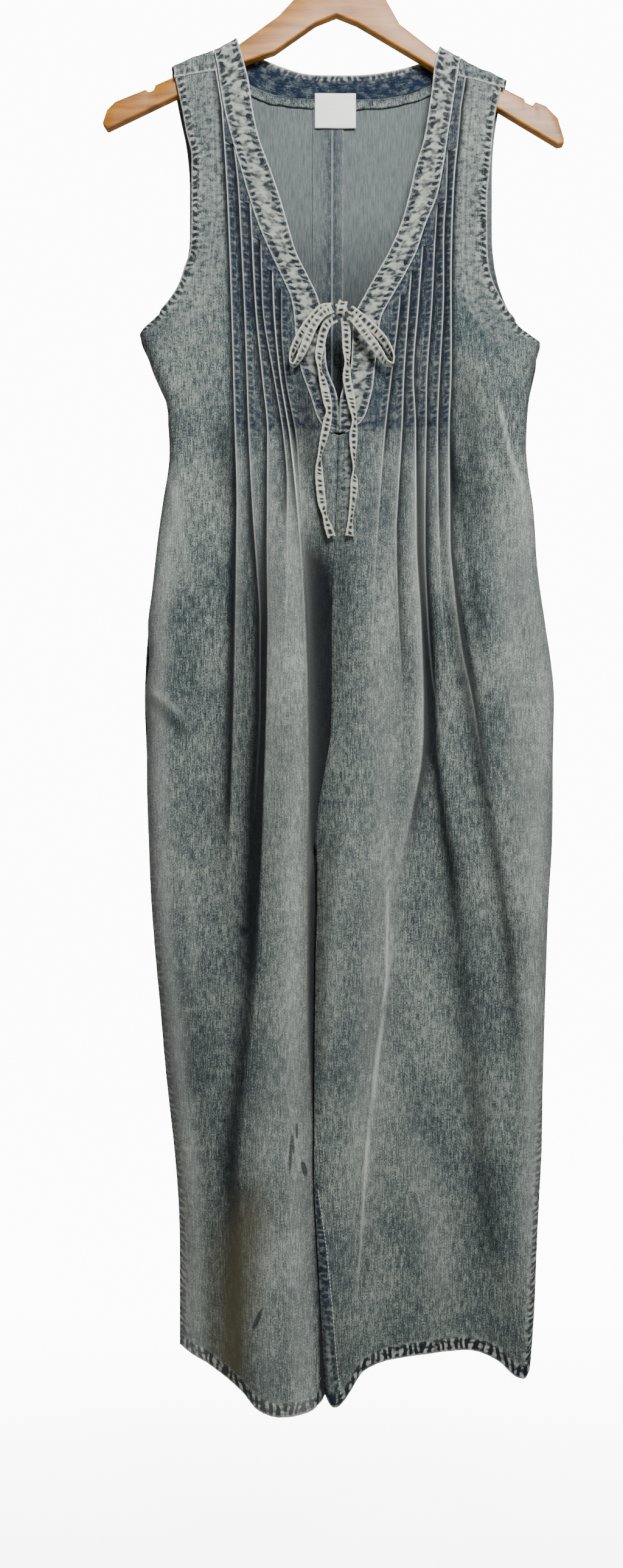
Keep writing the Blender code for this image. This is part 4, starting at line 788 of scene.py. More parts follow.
def frontSheet(hand, material):
    p = fronts[hand]
    underarm = p["side"][0][0]
    drops, sideX, centreX, width, mainS, mainF, folds = frontSections(hand)
    s = frontColumns(width[:, None], folds)
    forward, relief = np.empty_like(s), np.empty_like(s)
    blur = straight(softness, drops)
    for r in range(len(drops)):
        dense = np.linspace(0, width[r], 420)
        spacing = dense[1]
        section = keepEnds(np.interp(dense, mainS[r], mainF[r]), spacing, blur[r])
        forward[r] = np.interp(s[r], dense, section)
        relief[r] = np.interp(s[r], dense, section - keepEnds(section, spacing, 13))
    layers = foldMarks(hand, drops, width[:, None], s, folds, relief)

    x = sideX[:, None] - hand * s
    level = np.repeat(drops[:, None], s.shape[1], axis=1)
    start = int(np.argmin(np.abs(drops - cut["hemFrom"])))
    _, hemLevel, _ = hemRows(p["hem"], hand, drops, start, x, level, forward, sideX, centreX)

    # rows from the shoulder seam down to the first full section
    topSide = float(along(p["armhole"], straight(p["shoulder"], x[0, 0])))
    topCentre = float(along(p["band"], straight(p["shoulder"], x[0, -1]))) + hand * cut["bandClear"]
    topX = topSide + (x[0] - x[0, 0]) * (topCentre - topSide) / (x[0, -1] - x[0, 0])
    topLevel = straight(p["shoulder"], topX)
    shares = np.linspace(0, 1, 9)[:-1, None]
    x = np.vstack([topX + (x[0] - topX) * shares, x])
    level = np.vstack([topLevel + (level[0] - topLevel) * shares, level])
    forward = np.vstack([forward[0] * (0.98 + 0.02 * shares), forward])
    tuck, wear, indigo, hollow, inTucks, tuckRung, s, widths = (
        np.vstack([np.repeat(g[:1], len(shares), axis=0), g])
        for g in layers + [s, width[:, None]])
    # square to the side's edge, the way along it, to the centre and to the hem
    slope = np.gradient(x[:, 0], level[:, 0])[:, None]
    near = s / np.sqrt(1 + slope ** 2)
    edgeRun = runOf(np.stack([x[:, 0], level[:, 0]], axis=1))[:, None] - hand * near * slope
    middle = widths - s
    below = hemLevel - level

    # drape, creases with their painted highlight and painted shade, and the puckers that a washed seam
    # draws into its edge
    inside = smoothStep(s, 2, 25) * smoothStep(middle, 1, 18)
    forward += inside * (0.25 + 0.75 * smoothStep(level, 520, 720)) * (
        waves(x, level, 46, 210, 5 + hand) * 0.9 + waves(x, level, 21, 95, 9 + hand) * 0.35)
    pressCreasesAndShading(p, x, level, forward, wear, hollow)
    hollow *= 0.35 + 0.65 * smoothStep(below, 9, 14)
    armhole = 1 - smoothStep(level, underarm - 5, underarm + 5)
    sideForce = np.maximum(armhole, straight(p["sidePuckers"], level))
    forward += 0.55 * sideForce * np.exp(-near / 7.0) * np.sin(
        2 * np.pi * edgeRun / wash["puckerGap"] + waves(x, level, 40, 23, 3))
    forward -= armhole * 0.45 * peak(near, 1.1, 7.0)
    facing, _ = pathDistance(x, level, p["facing"])
    forward -= 0.5 * peak(facing, 1.2)
    forward += 0.35 * peak(facing, 6) * np.sin(level / 1.35 + x / 2.1)
    rope = np.sin(2 * np.pi * (x + 0.5 * below) / wash["hemRope"]
                  + 1.5 * waves(x, level, 30, 30, 4))
    forward += 0.55 * rope * peak(below, 7, 6)
    forward -= 0.5 * peak(below, 1.2, cut["hemStitch"])

    wear += armhole * 0.55 * peak(s, 1.1) + 0.5 * peak(below, 1.0)
    wear += 0.10 * peak(facing, 1.2, 2.2) * (s > 8)
    # painted shade along the facing's sunk needle line
    hollow += 0.28 * peak(facing, 1.0) * (s > 8)
    indigo += armhole * 0.16 * (1 - smoothStep(facing * (s < 40), 14, 26))
    indigo += 0.35 * peak(level, 5, cut["placketFoot"] - 9) * inTucks
    strip = (straight(cut["stripLine"], level) - x) * smoothStep(level, 1170, 1200)
    felled = smoothStep(middle, 0, 0.5) * (1 - smoothStep(middle, 12, 15)) * (level > 524) * (
        0.5 if hand > 0 else 0.12) * (1 - 0.8 * smoothStep(level, 540, 700)) * (
            1 - smoothStep(level, 1130, 1200))
    if hand > 0:    # the inseam's felled strip, which turns to the front at the foot
        felled = felled + 0.6 * smoothStep(level, 1130, 1200) * smoothStep(strip, -0.5, 0.5)
        indigo += 0.6 * smoothStep(strip, 0.2, 1.2)
        wear *= 1 - 0.8 * smoothStep(strip, 1.5, 3) * (below > 14)
    # the shifts keep the puckers of one seam out of step with the next
    marks = seamMarks([
        (edgeRun, near, sideForce * (0.9 * peak(near, 9.5, 0, 4) + 0.34 * armhole * (
            1 - smoothStep(facing, 6, 26)) * (s < 40))),
        (level + 300, tuckRung, 0.6 * (tuckRung < 9) * (1 - smoothStep(level, 505, 530))),
        (x, 0.5 * below + 0.8, peak(below, 13.5, 0, 10)),
        (level + 700, middle, felled),
        (x, level, 0.45 * peak(level, 8, cut["placketFoot"] - 8) * inTucks)])
    tint = np.zeros_like(x)
    for path, wide, strong in p["tints"]:
        away, place = pathDistance(x, level, path)
        tint += strong * peak(away, wide) * smoothStep(place, 0, 0.35) * (
            0.4 + 0.6 * smoothStep(below, 9, 14))
    marks.update(wear=np.clip(wear, 0, 1), indigo=np.clip(indigo, 0, 1),
                 hollow=np.clip(hollow, 0, 0.96), tint=tint)

    outer = toWorld(x, level, forward)
    inner = outer - gridNormals(outer) * hand * cut["wall"] * mm
    outer[..., 1] -= tuck * mm
    closeEdges(outer, inner, level, hand, -1, underarm)
    return clothPiece(sided("frontPanel", hand), outer, inner, marks, x, level, material,
                      sided("front_", hand))


# back panels

backs = dict(
    belly=((150, 10), (262, 11), (420, 14), (520, 17), (700, 21), (920, 22), (1150, 24),
           (1420, 26)),
    centre=((190, -4), (700, -5), (840, -11), (919, -22)),
    centreForward=((190, -10), (520, -16), (700, -18), (790, -15), (850, -10), (890, -4.5),
                   (919, -1)),
    folds=((0.10, 0.0), (0.22, 3.5), (0.34, -2.0), (0.47, 5.0), (0.60, -1.5), (0.72, 4.0),
           (0.86, -1.0)),
    growth=((300, 0.0), (520, 0.15), (700, 0.7), (900, 1.0), (1212, 1.4)),
    drops=(205, 237, 278, 320, 360, 385, 405, 424, 445, 486, 533, 590, 650, 710, 775, 832,
           872, 905, 922, 960, 1012, 1075, 1145, 1212, 1262, 1312, 1357),
    armhole={-1: ((170, -160), (181, -158), (237, -146), (278, -143), (320, -143),
                  (350, -147), (379, -158), (402, -175), (421, -191)),
             1: ((183, 162), (195, 159), (237, 153), (278, 152), (304, 152), (339, 153),
                 (381, 163), (404, 175), (431, 198))},
    top={-1: ((-160, 175), (-140, 166), (-122, 159), (-112, 158.5), (-100, 165),
              (-88, 175), (-65, 185), (-41, 189), (-4, 191)),
         1: ((-4, 191), (45, 190), (73, 185), (92, 178), (106, 167), (112, 165),
             (123, 167), (132, 174), (146, 179), (166, 188))},
    hem={-1: ((-152, 1398, 0), (-138, 1399, -16), (-84, 1402, -26), (-30, 1408, -20),
              (-15, 1419, 0)),
         1: ((-12, 1425, 54), (-3, 1420, 32), (20, 1408, -4), (80, 1403, -24),
             (140, 1403, -20), (170, 1406, 8), (180, 1409, 38))},
    shoulderForward=-10.3, topSide=176, intoBand=2.6, puckerGap=7.3, felledWidth=13.0)


def backSheet(hand, material):
    p = fronts[hand]
    underarm = p["side"][0][0]
    drops = np.array(backs["drops"], dtype=float)
    rise = drops < cut["crotch"]
    armhole = backs["armhole"][hand]
    sideX = np.where(drops < underarm, along(armhole, drops), along(p["side"], drops))
    centreX = np.where(rise, along(backs["centre"], drops), along(p["inseam"], drops))
    centreX = centreX + hand * cut["seamHalf"]
    out = -along(backs["belly"], drops)
    centreF = np.where(rise, along(backs["centreForward"], drops), along(p["inseamForward"], drops))
    edgeF = np.where(drops < underarm - 20, out * 0.85, np.where(
        drops < underarm, out * 0.4, along(p["sideForward"], drops)))
    growth = along(backs["growth"], drops)
    x = [sideX - hand * inset for inset, _ in edgeRoll]
    forward = [edgeF + (out - edgeF) * share for _, share in edgeRoll]
    for share, height in backs["folds"]:
        x.append(x[3] + (centreX - x[3]) * share)
        forward.append(out - height * growth)
    x += [x[-1] + (centreX - x[-1]) * 0.7, centreX]
    forward += [(out + centreF) / 2, centreF]
    x, forward = np.stack(x, axis=1), np.stack(forward, axis=1)
    level = np.repeat(drops[:, None], x.shape[1], axis=1)
    hem = hemRows(backs["hem"][hand], hand, drops, backs["drops"].index(cut["hemFrom"]), x, level,
                  forward, sideX, centreX)
    topX = x[0].copy()
    topX[:4] = along(armhole, backs["topSide"]) - hand * np.array(edgeRoll)[:, 0]
    topX[3:] = topX[3] + (x[0, 3:] - x[0, 3]) * ((x[0, -1] - topX[3]) / (x[0, -1] - x[0, 3]))
    top = (topX, straight(backs["top"][hand], topX) - backs["intoBand"],
           np.full_like(topX, backs["shoulderForward"]))
    fine = refine(toWorld(*(np.vstack([first, (first + rows[0]) / 2, rows, last])
                            for first, rows, last in zip(top, (x, level, forward), hem))), 4.5, 4.2)

    x, level, forward = fine[..., 0] / mm, -fine[..., 2] / mm, -fine[..., 1] / mm
    s, middle, below = np.abs(x - x[:, :1]), np.abs(x - x[:, -1:]), level[-1:] - level
    inside = smoothStep(s, 2, 25) * smoothStep(middle, 1, 18)
    drape = waves(x, level, 52, 240, 25 + hand)
    forward -= inside * smoothStep(level, 190, 420) * (
        drape * 0.9 + waves(x, level, 24, 110, 29 + hand) * 0.3)
    hole = 1 - smoothStep(level, underarm - 14, underarm + 6)
    sideForce = np.maximum(hole, straight(p["sidePuckers"], level))
    forward -= 0.5 * sideForce * np.exp(-s / 7.0) * np.sin(
        2 * np.pi * level / backs["puckerGap"] + 2.2 * waves(x, level, 40, 23, 8))
    forward += hole * 0.4 * peak(s, 1.3, 6.2)
    rope = np.sin(2 * np.pi * (x + 0.5 * below) / wash["hemRope"]
                  + 1.5 * waves(x, level, 30, 30, 6))
    forward -= 0.5 * rope * peak(below, 7, 6)
    forward -= 0.5 * peak(middle, 1.6, backs["felledWidth"]) * (level < 920)
    # paler on the drape's crests and darker in its troughs: partly the wash, partly painted highlight
    # and painted shade
    wornAndShaded = smoothStep(level, 500, 800)
    wear = hole * 0.55 * peak(s, 1.1) + 0.5 * peak(below, 1.2) + 0.10 * np.clip(drape, 0, 1) * wornAndShaded
    felled = (1 - smoothStep(middle, 12, 15)) * (0.45 if hand > 0 else 0.1)
    marks = seamMarks([(level, s, sideForce * 0.8 * peak(s, 7.0, 0, 4)),
                       (x, 0.5 * below + 0.8, 0.92 * peak(below, 13.5, 0, 10)),
                       (level + 700, middle, felled * (level < 925))])
    marks.update(wear=np.clip(wear, 0, 1), indigo=0.16 * np.clip(-drape, 0, 1) * wornAndShaded)

    outer = toWorld(x, level, forward)
    inner = outer + gridNormals(outer) * hand * cut["wall"] * mm
    closeEdges(outer, inner, level, hand, 1, underarm)
    # its threads lie a metre away from the front's, so that no streak repeats
    return clothPiece(sided("backPanel", hand), outer, inner, marks, x + 1000, level, material,
                      sided("back_", hand))


# neck band, shoulders, back neck and label

neckBand = dict(
    wall=2.0, forward=0.8, slitFoot=485, plainFrom=235, stitchInset=3.2, puckerGap=6.1,
    drops=(235, 262, 290, 318, 345, 368, 390, 408, 421, 436, 457, 486, 509, 517, 520.5),
    saddle=((0.0, 0.2), (1.4, 6.6), (6.0, 10.2)),
    inner={-1: ((134, -97), (158, -90), (177, -85), (205, -81), (233, -75), (258, -66),
                (284, -57), (310, -49), (340, -41), (368, -28), (390, -18), (401, -15),
                (436, -11), (460, -9), (481, -4), (489, 2), (522, 2)),
           1: ((142, 100), (160, 95), (184, 92), (205, 89), (231, 85), (258, 77), (284, 71),
               (310, 64), (331, 57), (354, 45), (376, 33), (394, 23), (402, 18), (457, 13),
               (480, 8), (489, 2), (522, 2))},
    # inner edge's x and drop, outer edge's x and drop, forward
    back=((-97, 134, -119, 146, -1.0), (-94.5, 135.5, -115.5, 148, -6.6),
          (-91, 138, -109, 155, -10.0), (-84, 142, -100, 163, -11.0),
          (-75, 147, -88, 173, -11.3), (-50, 157, -65, 183, -11.3),
          (-27, 163, -35, 187, -11.3), (3, 164, -2, 189, -11.3), (33, 163, 40, 188, -11.3),
          (62, 158, 70, 183, -11.3), (80, 153, 90, 176, -11.3), (88, 149, 101, 168, -11.0),
          (94, 145.5, 110, 161, -10.0), (97.5, 143.5, 116.5, 155, -6.6),
          (100, 142, 120, 153, -1.0)),
    # how pale or dark each band is: seams, kept indigo inside, kept indigo at the foot
    shade=dict(neckBandLeft=(0.95, 0.0, 0.5), neckBandRight=(0.95, 0.0, 0.18),
               neckBandBack=(0.8, 1.0, 0.0)))


def bandPiece(name, coarse, flip, material, node):
    # turned edges stand up, a needle line sinks beside each, and the wash puckers both
    seamForce, navy, foot = neckBand["shade"][name]
    base = refine(coarse, 2.2, 1.6)
    outward = gridNormals(base) * flip
    across = runOf(base, axis=1) / mm
    widths = across[:, -1:]
    run = runOf(base[:, base.shape[1] // 2]) / mm
    length = run[-1] * mm
    run = np.repeat(run[:, None], base.shape[1], axis=1)
    near, inset = np.minimum(across, widths - across), neckBand["stitchInset"]
    lift = 0.55 * peak(near, 1.0, 1.1) - 0.35 * peak(near, 0.8, inset)
    lift += 0.45 * np.exp(-near / 4.5) * np.sin(
        2 * np.pi * run / neckBand["puckerGap"] + 1.8 * waves(run, across, 34, 20, 12))
    lift += 0.55 * waves(run, across, 8.5, 11, 13, 14)
    level = -base[..., 2] / mm
    joined = (across > widths / 2) & (level > neckBand["slitFoot"] + 3)
    wear = 0.75 * peak(near, 0.8) * ~joined + 0.22 * np.clip(lift, 0, 1)
    wear = wear * (1 - navy * smoothStep(across, 6, 10))
    indigo = 0.16 + 0.35 * np.clip(-lift, 0, 1) + 0.25 * peak(near, 1.1, inset)
    indigo += 2.2 * navy * smoothStep(across, 4, 9) + foot * smoothStep(level, 420, 480)
    outer = base + outward * (lift * smoothStep(near, -0.5, 0.6) * mm)[..., None]
    inner = base - outward * neckBand["wall"] * mm
    inner[:, 0, 0] = base[:, 0, 0]
    inner[0] = base[0] - np.array((0, 0, neckBand["wall"] * mm))
    marks = dict(seamRun=run, seamDistance=near, wear=np.clip(wear, 0, 1),
                 seamForce=seamForce * (1 - 0.85 * navy * smoothStep(across, 6, 12)),
                 indigo=np.clip(indigo, 0, 1))
    piece = clothPiece(name, outer, inner, marks, across, run, material, node)
    return piece, length


def frontBand(hand, material):
    outside, inside = fronts[hand]["band"], neckBand["inner"][hand]
    firstOut, firstIn, plainFrom = outside[0][0], inside[0][0], neckBand["plainFrom"]
    rows = [(firstOut + down, firstIn + down, forward) for down, forward in neckBand["saddle"]]
    rows += [(firstOut + (plainFrom - firstOut) * share, firstIn + (plainFrom - firstIn) * share,
              None) for share in (0.25, 0.45, 0.7)]
    rows += [(d, d, None) for d in neckBand["drops"]]
    shares = np.array((0.0, 0.35, 0.7, 1.0))
    x, level, forward = [], [], []
    for outDrop, inDrop, fixed in rows:
        outX, inX = along(outside, outDrop), along(inside, inDrop)
        inX = inX + (hand * cut["seamHalf"] if inDrop > neckBand["slitFoot"] else 0.0)
        x.append(outX + (inX - outX) * shares)
        level.append(outDrop + (inDrop - outDrop) * shares)
        forward.append(along(belly, level[-1]) + neckBand["forward"] if fixed is None
                       else np.full(4, fixed))
    return bandPiece(sided("neckBand", hand), toWorld(x, level, forward), hand, material,
                     sided("neck_band_", hand))


def backBand(material):
    table = np.array(neckBand["back"])
    shares = np.array((0.0, 0.5, 1.0))
    x = table[:, 0:1] + (table[:, 2:3] - table[:, 0:1]) * shares
    level = table[:, 1:2] + (table[:, 3:4] - table[:, 1:2]) * shares
    return bandPiece("neckBandBack", toWorld(x, level, table[:, 4:5]), -1, material,
                     "neck_band_back")


neckAllowance = dict(wide=9.0, belowBand=0.4, forward=-8.4, thick=0.9,
                     lastRow=(84, 151, 96, 172.5, -11.2))


def allowancePiece(material):
    wide = neckAllowance["wide"]
    table = np.vstack([np.array(neckBand["back"])[4:11], neckAllowance["lastRow"]])
    x = np.repeat(table[:, 2:3], 3, axis=1)
    level = table[:, 3:4] + neckAllowance["belowBand"] + wide * np.array((0.0, 0.5, 1.0))
    base = refine(toWorld(x, level, neckAllowance["forward"]), 1.6, 1.5)
    run, across = base[..., 0] / mm, (base[:, :1, 2] - base[..., 2]) / mm
    base[..., 1] += (0.4 * np.sin(2 * np.pi * run / 9 + waves(run, across, 30, 20, 7))
                     * across / wide - 0.3 * peak(across, 1.4, 7.5)) * mm
    base[..., 2] += 0.5 * waves(run, across, 22, 30, 17) * mm * across / wide
    # a painted shadow of the band along its top edge, and darker along its lower edge
    marks = dict(seamRun=run, seamDistance=across, seamForce=0.12, wear=0.0,
                 indigo=0.62 * peak(across, 2.0) + 0.7 * smoothStep(across, 7.6, 8.6) + 0.12)
    return clothPiece("backNeckAllowance", base,
                      base - np.array((0, neckAllowance["thick"] * mm, 0)), marks, run, across,
                      material, "back_neck_allowance")


shoulders = dict(
    wall=1.3, outside={-1: -160.0, 1: 165.0}, inside={-1: -119.7, 1: 120.7}, pull=3.5,
    bandGap=0.7, puckerGap=6.3,
    ridge=((-160, 162), (-140, 153), (-119, 146), (-97, 134), (100, 142), (120, 153),
           (132, 161), (146, 166), (166, 175)),
    # down from the ridge and forward; the first row lies on the front's seam
    saddle=((None, 10.2), (6.0, 9.8), (1.4, 6.6), (0.0, 0.0), (1.4, -6.6), (6.0, -9.8),
            (11.0, -10.2)),
    # behind, the piece reaches in to the neck band's curved edge: back, reach
    reach=((0, 0), (6.6, 3), (9.8, 8), (10.2, 13.5)))


def shoulderPiece(hand, material):
    seam, ridge = fronts[hand]["shoulder"], shoulders["ridge"]
    outside, inside = shoulders["outside"][hand], shoulders["inside"][hand]
    shares = np.array((0.0, 0.33, 0.67, 1.0))
    rows = []
    for down, forward in shoulders["saddle"]:
        reach = inside - hand * straight(shoulders["reach"], -forward)
        if forward > 0:
            level = straight(seam, inside) if down is None else straight(ridge, inside) + down
            reach = along(fronts[hand]["band"], level) + hand * shoulders["bandGap"]
        x = outside + (reach - outside) * shares
        level = straight(seam, x) - 0.5 if down is None else straight(
            ridge, hand * np.maximum(np.abs(x), abs(inside))) + down
        pull = np.where(shares == 0, -hand * shoulders["pull"] * max(forward, 0.0) / 10.2, 0.0)
        rows.append(toWorld(x + pull, level, forward))
    base = refine(np.array(rows), 1.6, 1.6)
    outward = gridNormals(base) * -hand
    run, down = base[..., 0] / mm, runOf(base) / mm
    edge = np.abs(run - run[:, :1])
    near = np.minimum(edge, down)
    lift = 0.5 * peak(down, 1.2, 1.2) - 0.4 * peak(down, 0.9, 4)
    lift += 0.4 * np.exp(-down / 5) * np.sin(
        2 * np.pi * run / shoulders["puckerGap"] + waves(run, down, 30, 20, 3))
    lift += 0.35 * waves(run, down, 12, 12, 19) + 0.4 * np.sin(down / 1.1) * np.exp(-edge / 5)
    wear = 0.6 * peak(down, 1.0) + 0.5 * peak(edge, 1.2) + 0.2 * np.clip(lift, 0, 1)
    marks = dict(seamRun=np.where(edge < down, down, run), seamDistance=near,
                 seamForce=0.75 * peak(near, 9), wear=np.clip(wear, 0, 1),
                 indigo=np.clip(0.15 - 0.3 * lift, 0, 1))
    return clothPiece(sided("shoulder", hand), base + outward * (lift * mm)[..., None],
                      base - outward * shoulders["wall"] * mm, marks, run, down, material,
                      sided("shoulder_", hand))


centreStrip = dict(top=194, foot=914, rows=181, columns=33, left=19.0, right=11.0,
                   narrowFrom=780, narrowing=0.4, proud=1.1, thick=0.9)


def backSeamStrip(surfaces, material):
    # the opened allowance of the centre back seam, seen inside below the label: wide on the
    # left, narrow on the right, its indigo kept beside the seam line
    strip = centreStrip
    level = np.linspace(strip["top"], strip["foot"], strip["rows"])[:, None]
    away = np.linspace(-1, 1, strip["columns"])[None]
    away = away * np.where(away < 0, strip["left"], strip["right"]) * (
        1 - strip["narrowing"] * smoothStep(level, strip["narrowFrom"], strip["foot"]))
    x = along(backs["centre"], level) + away
    level = np.broadcast_to(level, x.shape)
    forward = np.empty_like(x)
    for place in np.ndindex(x.shape):
        start = Vector((x[place] * mm, -0.3, -level[place] * mm))
        hits = [surface.ray_cast(start, Vector((0, 1, 0)))[0] for surface in surfaces]
        # the two halves meet in a hair's gap, where the seam's own depth stands in
        forward[place] = strip["proud"] + max(
            [-hit.y / mm for hit in hits if hit is not None]
            or [float(along(backs["centreForward"], level[place])) + cut["wall"]])
    edge = np.minimum(away - away[:, :1], away[:, -1:] - away)
    forward = forward + 0.25 * waves(x, level, 25, 18, 41) - 0.7 * peak(away, 0.9)
    marks = dict(seamRun=level, seamDistance=edge, seamForce=0.0,
                 wear=0.42 * peak(away, 0.8, 0.2) + 0.25 * peak(edge, 0.9),
                 indigo=0.75 * peak(away, 7.5, 0, 1.5) + 0.25,
                 inside=0.85 - 0.6 * peak(away, 8.0, 0, 1.5) - 0.3 * (edge < 1.0))
    return clothPiece("centreBackAllowance", toWorld(x, level, forward),
                      toWorld(x, level, forward - strip["thick"]), marks, x, level, material)


def crotchStay(material):
    # the small lapped end of the rise seam, behind the point where the legs part, darkened with painted
    # shade
    level, x = np.meshgrid(np.linspace(906, 932, 14), np.linspace(-26.5, -16.5, 8), indexing="ij")
    base = toWorld(x, level, -5.0 - 0.17 * (level - 906))
    marks = dict(seamRun=level, seamDistance=4.0, seamForce=0.4, wear=0.0, indigo=0.5, hollow=0.3)
    return clothPiece("crotchStay", base, base + np.array((0, 0.9 * mm, 0)), marks, x, level,
                      material)


neckLabel = dict(x=-1.0, width=40.0, top=183.0, foot=217.0, forward=-5.8, thick=0.7,
                 weft="FCFFF4", warp="FFFFFC")


def satinLabel():
    # woven satin: close weft floats give a faint ribbed sheen across the label
    material, tree, shader = newMaterial("wovenSatinLabel")
    place = addNode(tree, "TexCoord", output="Object")
    ribs = addNode(tree, "TexWave", {"Vector": place, "Scale": 300.0, "Distortion": 0.8}, "Fac",
                   bands_direction="Z")
    shade = addNode(tree, "TexNoise", {"Vector": place, "Scale": 90.0, "Detail": 3.0})
    tone = addNode(tree, "Mix", {0: shade, 6: linear(neckLabel["weft"]),
                                 7: linear(neckLabel["warp"])}, **blend)
    bump = addNode(tree, "Bump", {"Strength": 0.3, "Distance": 0.0003, "Height": ribs})
    fill(tree, shader, {"Base Color": tone, "Normal": bump, "Roughness": 0.5,
                        "Sheen Weight": 0.2})
    return material


def labelPiece():
    x, level = np.meshgrid(neckLabel["x"] + neckLabel["width"] * np.linspace(-0.5, 0.5, 41),
                           np.linspace(neckLabel["top"], neckLabel["foot"], 36))
    fold = np.minimum(level - neckLabel["top"], neckLabel["foot"] - level)
    sides = np.minimum(x - x[0, 0], x[0, -1] - x)
    forward = neckLabel["forward"] + 0.5 * waves(x, level, 46, 38, 31) + (
        0.25 * peak(fold, 1.0, 4) - 0.5 * peak(fold, 1.0) - 0.3 * peak(sides, 1.0))
    base = toWorld(x, level, forward)
    return clothPiece("neckLabel", base, base + np.array((0, neckLabel["thick"] * mm, 0)),
                      dict(wear=0.0), x, level, satinLabel(), "neck_label")


# ties: x, drop, forward and the tape's turn in degrees, from the knot outwards

ties = dict(
    width=8.5, thick=1.5, step=1.3, dashGap=5.4, dashSway=14.0, cream="A2A394",
    pale="E6E6D6", indigo="1B222C",
    # each wrap of the knot: half height, half depth, lean
    knot=dict(x=4.5, drop=403.0, forward=27.0, turn=36.0,
              wraps=((6.6, 4.3, 0.24), (5.2, 3.1, -0.5))),
    # a section of the tape: thick turned edges and a sunk needle line
    ring=((-0.5, 0.0), (-0.46, 0.5), (-0.34, 0.56), (-0.15, 0.44), (0.0, 0.2), (0.15, 0.44),
          (0.34, 0.56), (0.46, 0.5), (0.5, 0.0), (0.46, -0.5), (0.3, -0.5), (0.0, -0.34),
          (-0.3, -0.5), (-0.46, -0.5)),
    loopLeft=((-4, 402, 27.5, 0), (-13, 403, 27.5, 10), (-22, 411, 27.5, 20),
              (-32, 424, 28, 30), (-39.5, 438, 28.5, 45), (-44, 450, 29.5, 75),
              (-44.5, 456, 31, 90), (-41, 458.5, 32.5, 100), (-37, 454, 33.5, 120),
              (-32, 444, 34, 150), (-27, 432, 34, 170), (-21, 419, 33.5, 180),
              (-13, 409, 32.5, 180), (-4.5, 404.5, 31.5, 180)),
    loopRight=((12.8, 404, 27, 0), (21, 410, 27, 0), (29, 417, 27, -10), (37, 425, 28, -20),
               (44, 433, 28.5, -35), (50, 443, 29, -55), (53.5, 452, 30.5, -80),
               (52, 458, 32.5, -95), (47, 457, 34, -120), (41, 449, 34.5, -150),
               (34.5, 439, 34.5, -170), (27, 429, 34, -180), (19.5, 419, 33, -180),
               (13.5, 411, 32, -180)),
    tailLeft=((-1, 412.5, 28, 0), (-9, 417.5, 27, 0), (-13, 426, 26.5, 0),
              (-15.5, 438, 26.5, 10), (-17.3, 450, 27, 40), (-16.4, 461, 27.5, 70),
              (-13, 474, 28, 30), (-9.5, 490, 28.5, 10), (-7.6, 502, 29, 50),
              (-9.5, 513, 29.5, 20), (-13, 529, 30, 40), (-16.4, 544, 30, 70),
              (-17, 558, 30, 30), (-16, 573, 29.5, 10), (-14.3, 588, 29.5, 20),
              (-11.4, 601, 29.5, 60), (-8.5, 611, 29.5, 30), (-5, 621, 29, 10)),
    tailRight=((7.5, 412.5, 28, 0), (8.7, 424, 26.5, 0), (9.2, 440, 26.5, 20),
               (9.6, 455, 27, 60), (9.4, 468, 27.5, 20), (12, 483, 28, 0),
               (14.7, 496.5, 28.5, 30), (16.7, 511, 29.5, 60), (15.6, 526, 30, 20),
               (15.6, 540, 30.5, 50), (16.3, 556, 31, 80), (16.3, 572, 30, 30),
               (15, 588, 30, 50), (13, 604, 30, 60), (11.8, 620, 29.5, 20)),
    leadLeft=((-17, 402.5, 22.3, 0), (-12, 402, 22.8, 0), (-8, 401.8, 23.2, 0),
              (-4, 401.5, 23.3, 0)),
    leadRight=((19, 407, 22.3, 0), (17, 405.5, 23, 0), (15, 404.5, 23.5, 0),
               (12.6, 403.5, 23.5, 0)))


def tieTape():
    # bias strip folded in and topstitched: cream abraded edges, and a dark dash of indigo
    # in every pucker along the needle line
    material, tree, shader = newMaterial("foldedDenimTape")
    add = partial(addNode, tree)
    place = add("UVMap", uv_map="cloth")
    grain = add("TexNoise", {"Vector": place, "Scale": 700.0, "Detail": 3.0})
    stretch = add("Mapping", {"Vector": place, "Scale": (60, 110, 1)})
    sway = add("TexNoise", {"Vector": stretch, "Scale": 1.0, "Detail": 1.5})
    turn = add("Math", (add("SeparateXYZ", (place,), "Y"), 2 * math.pi / (ties["dashGap"] * mm)),
               **times)
    dash = add("Math", (add("Math", (sway, ties["dashSway"], turn), **plus),), operation="SINE")
    mask = add("Math", (add("MapRange", (dash, -0.5, 0.3, 0.28)),
                        add("Attribute", output="Fac", attribute_name="middle")), **times)
    cream = add("Mix", {0: grain, 6: linear(ties["cream"]), 7: linear(ties["pale"])}, **blend)
    colour = add("Mix", {0: mask, 6: cream, 7: linear(ties["indigo"])}, **blend)
    bump = add("Bump", {"Strength": 0.6, "Distance": 0.0006, "Height": grain})
    fill(tree, shader, {"Base Color": colour, "Normal": bump, "Roughness": 0.9,
                        "Specular IOR Level": 0.2})
    return material


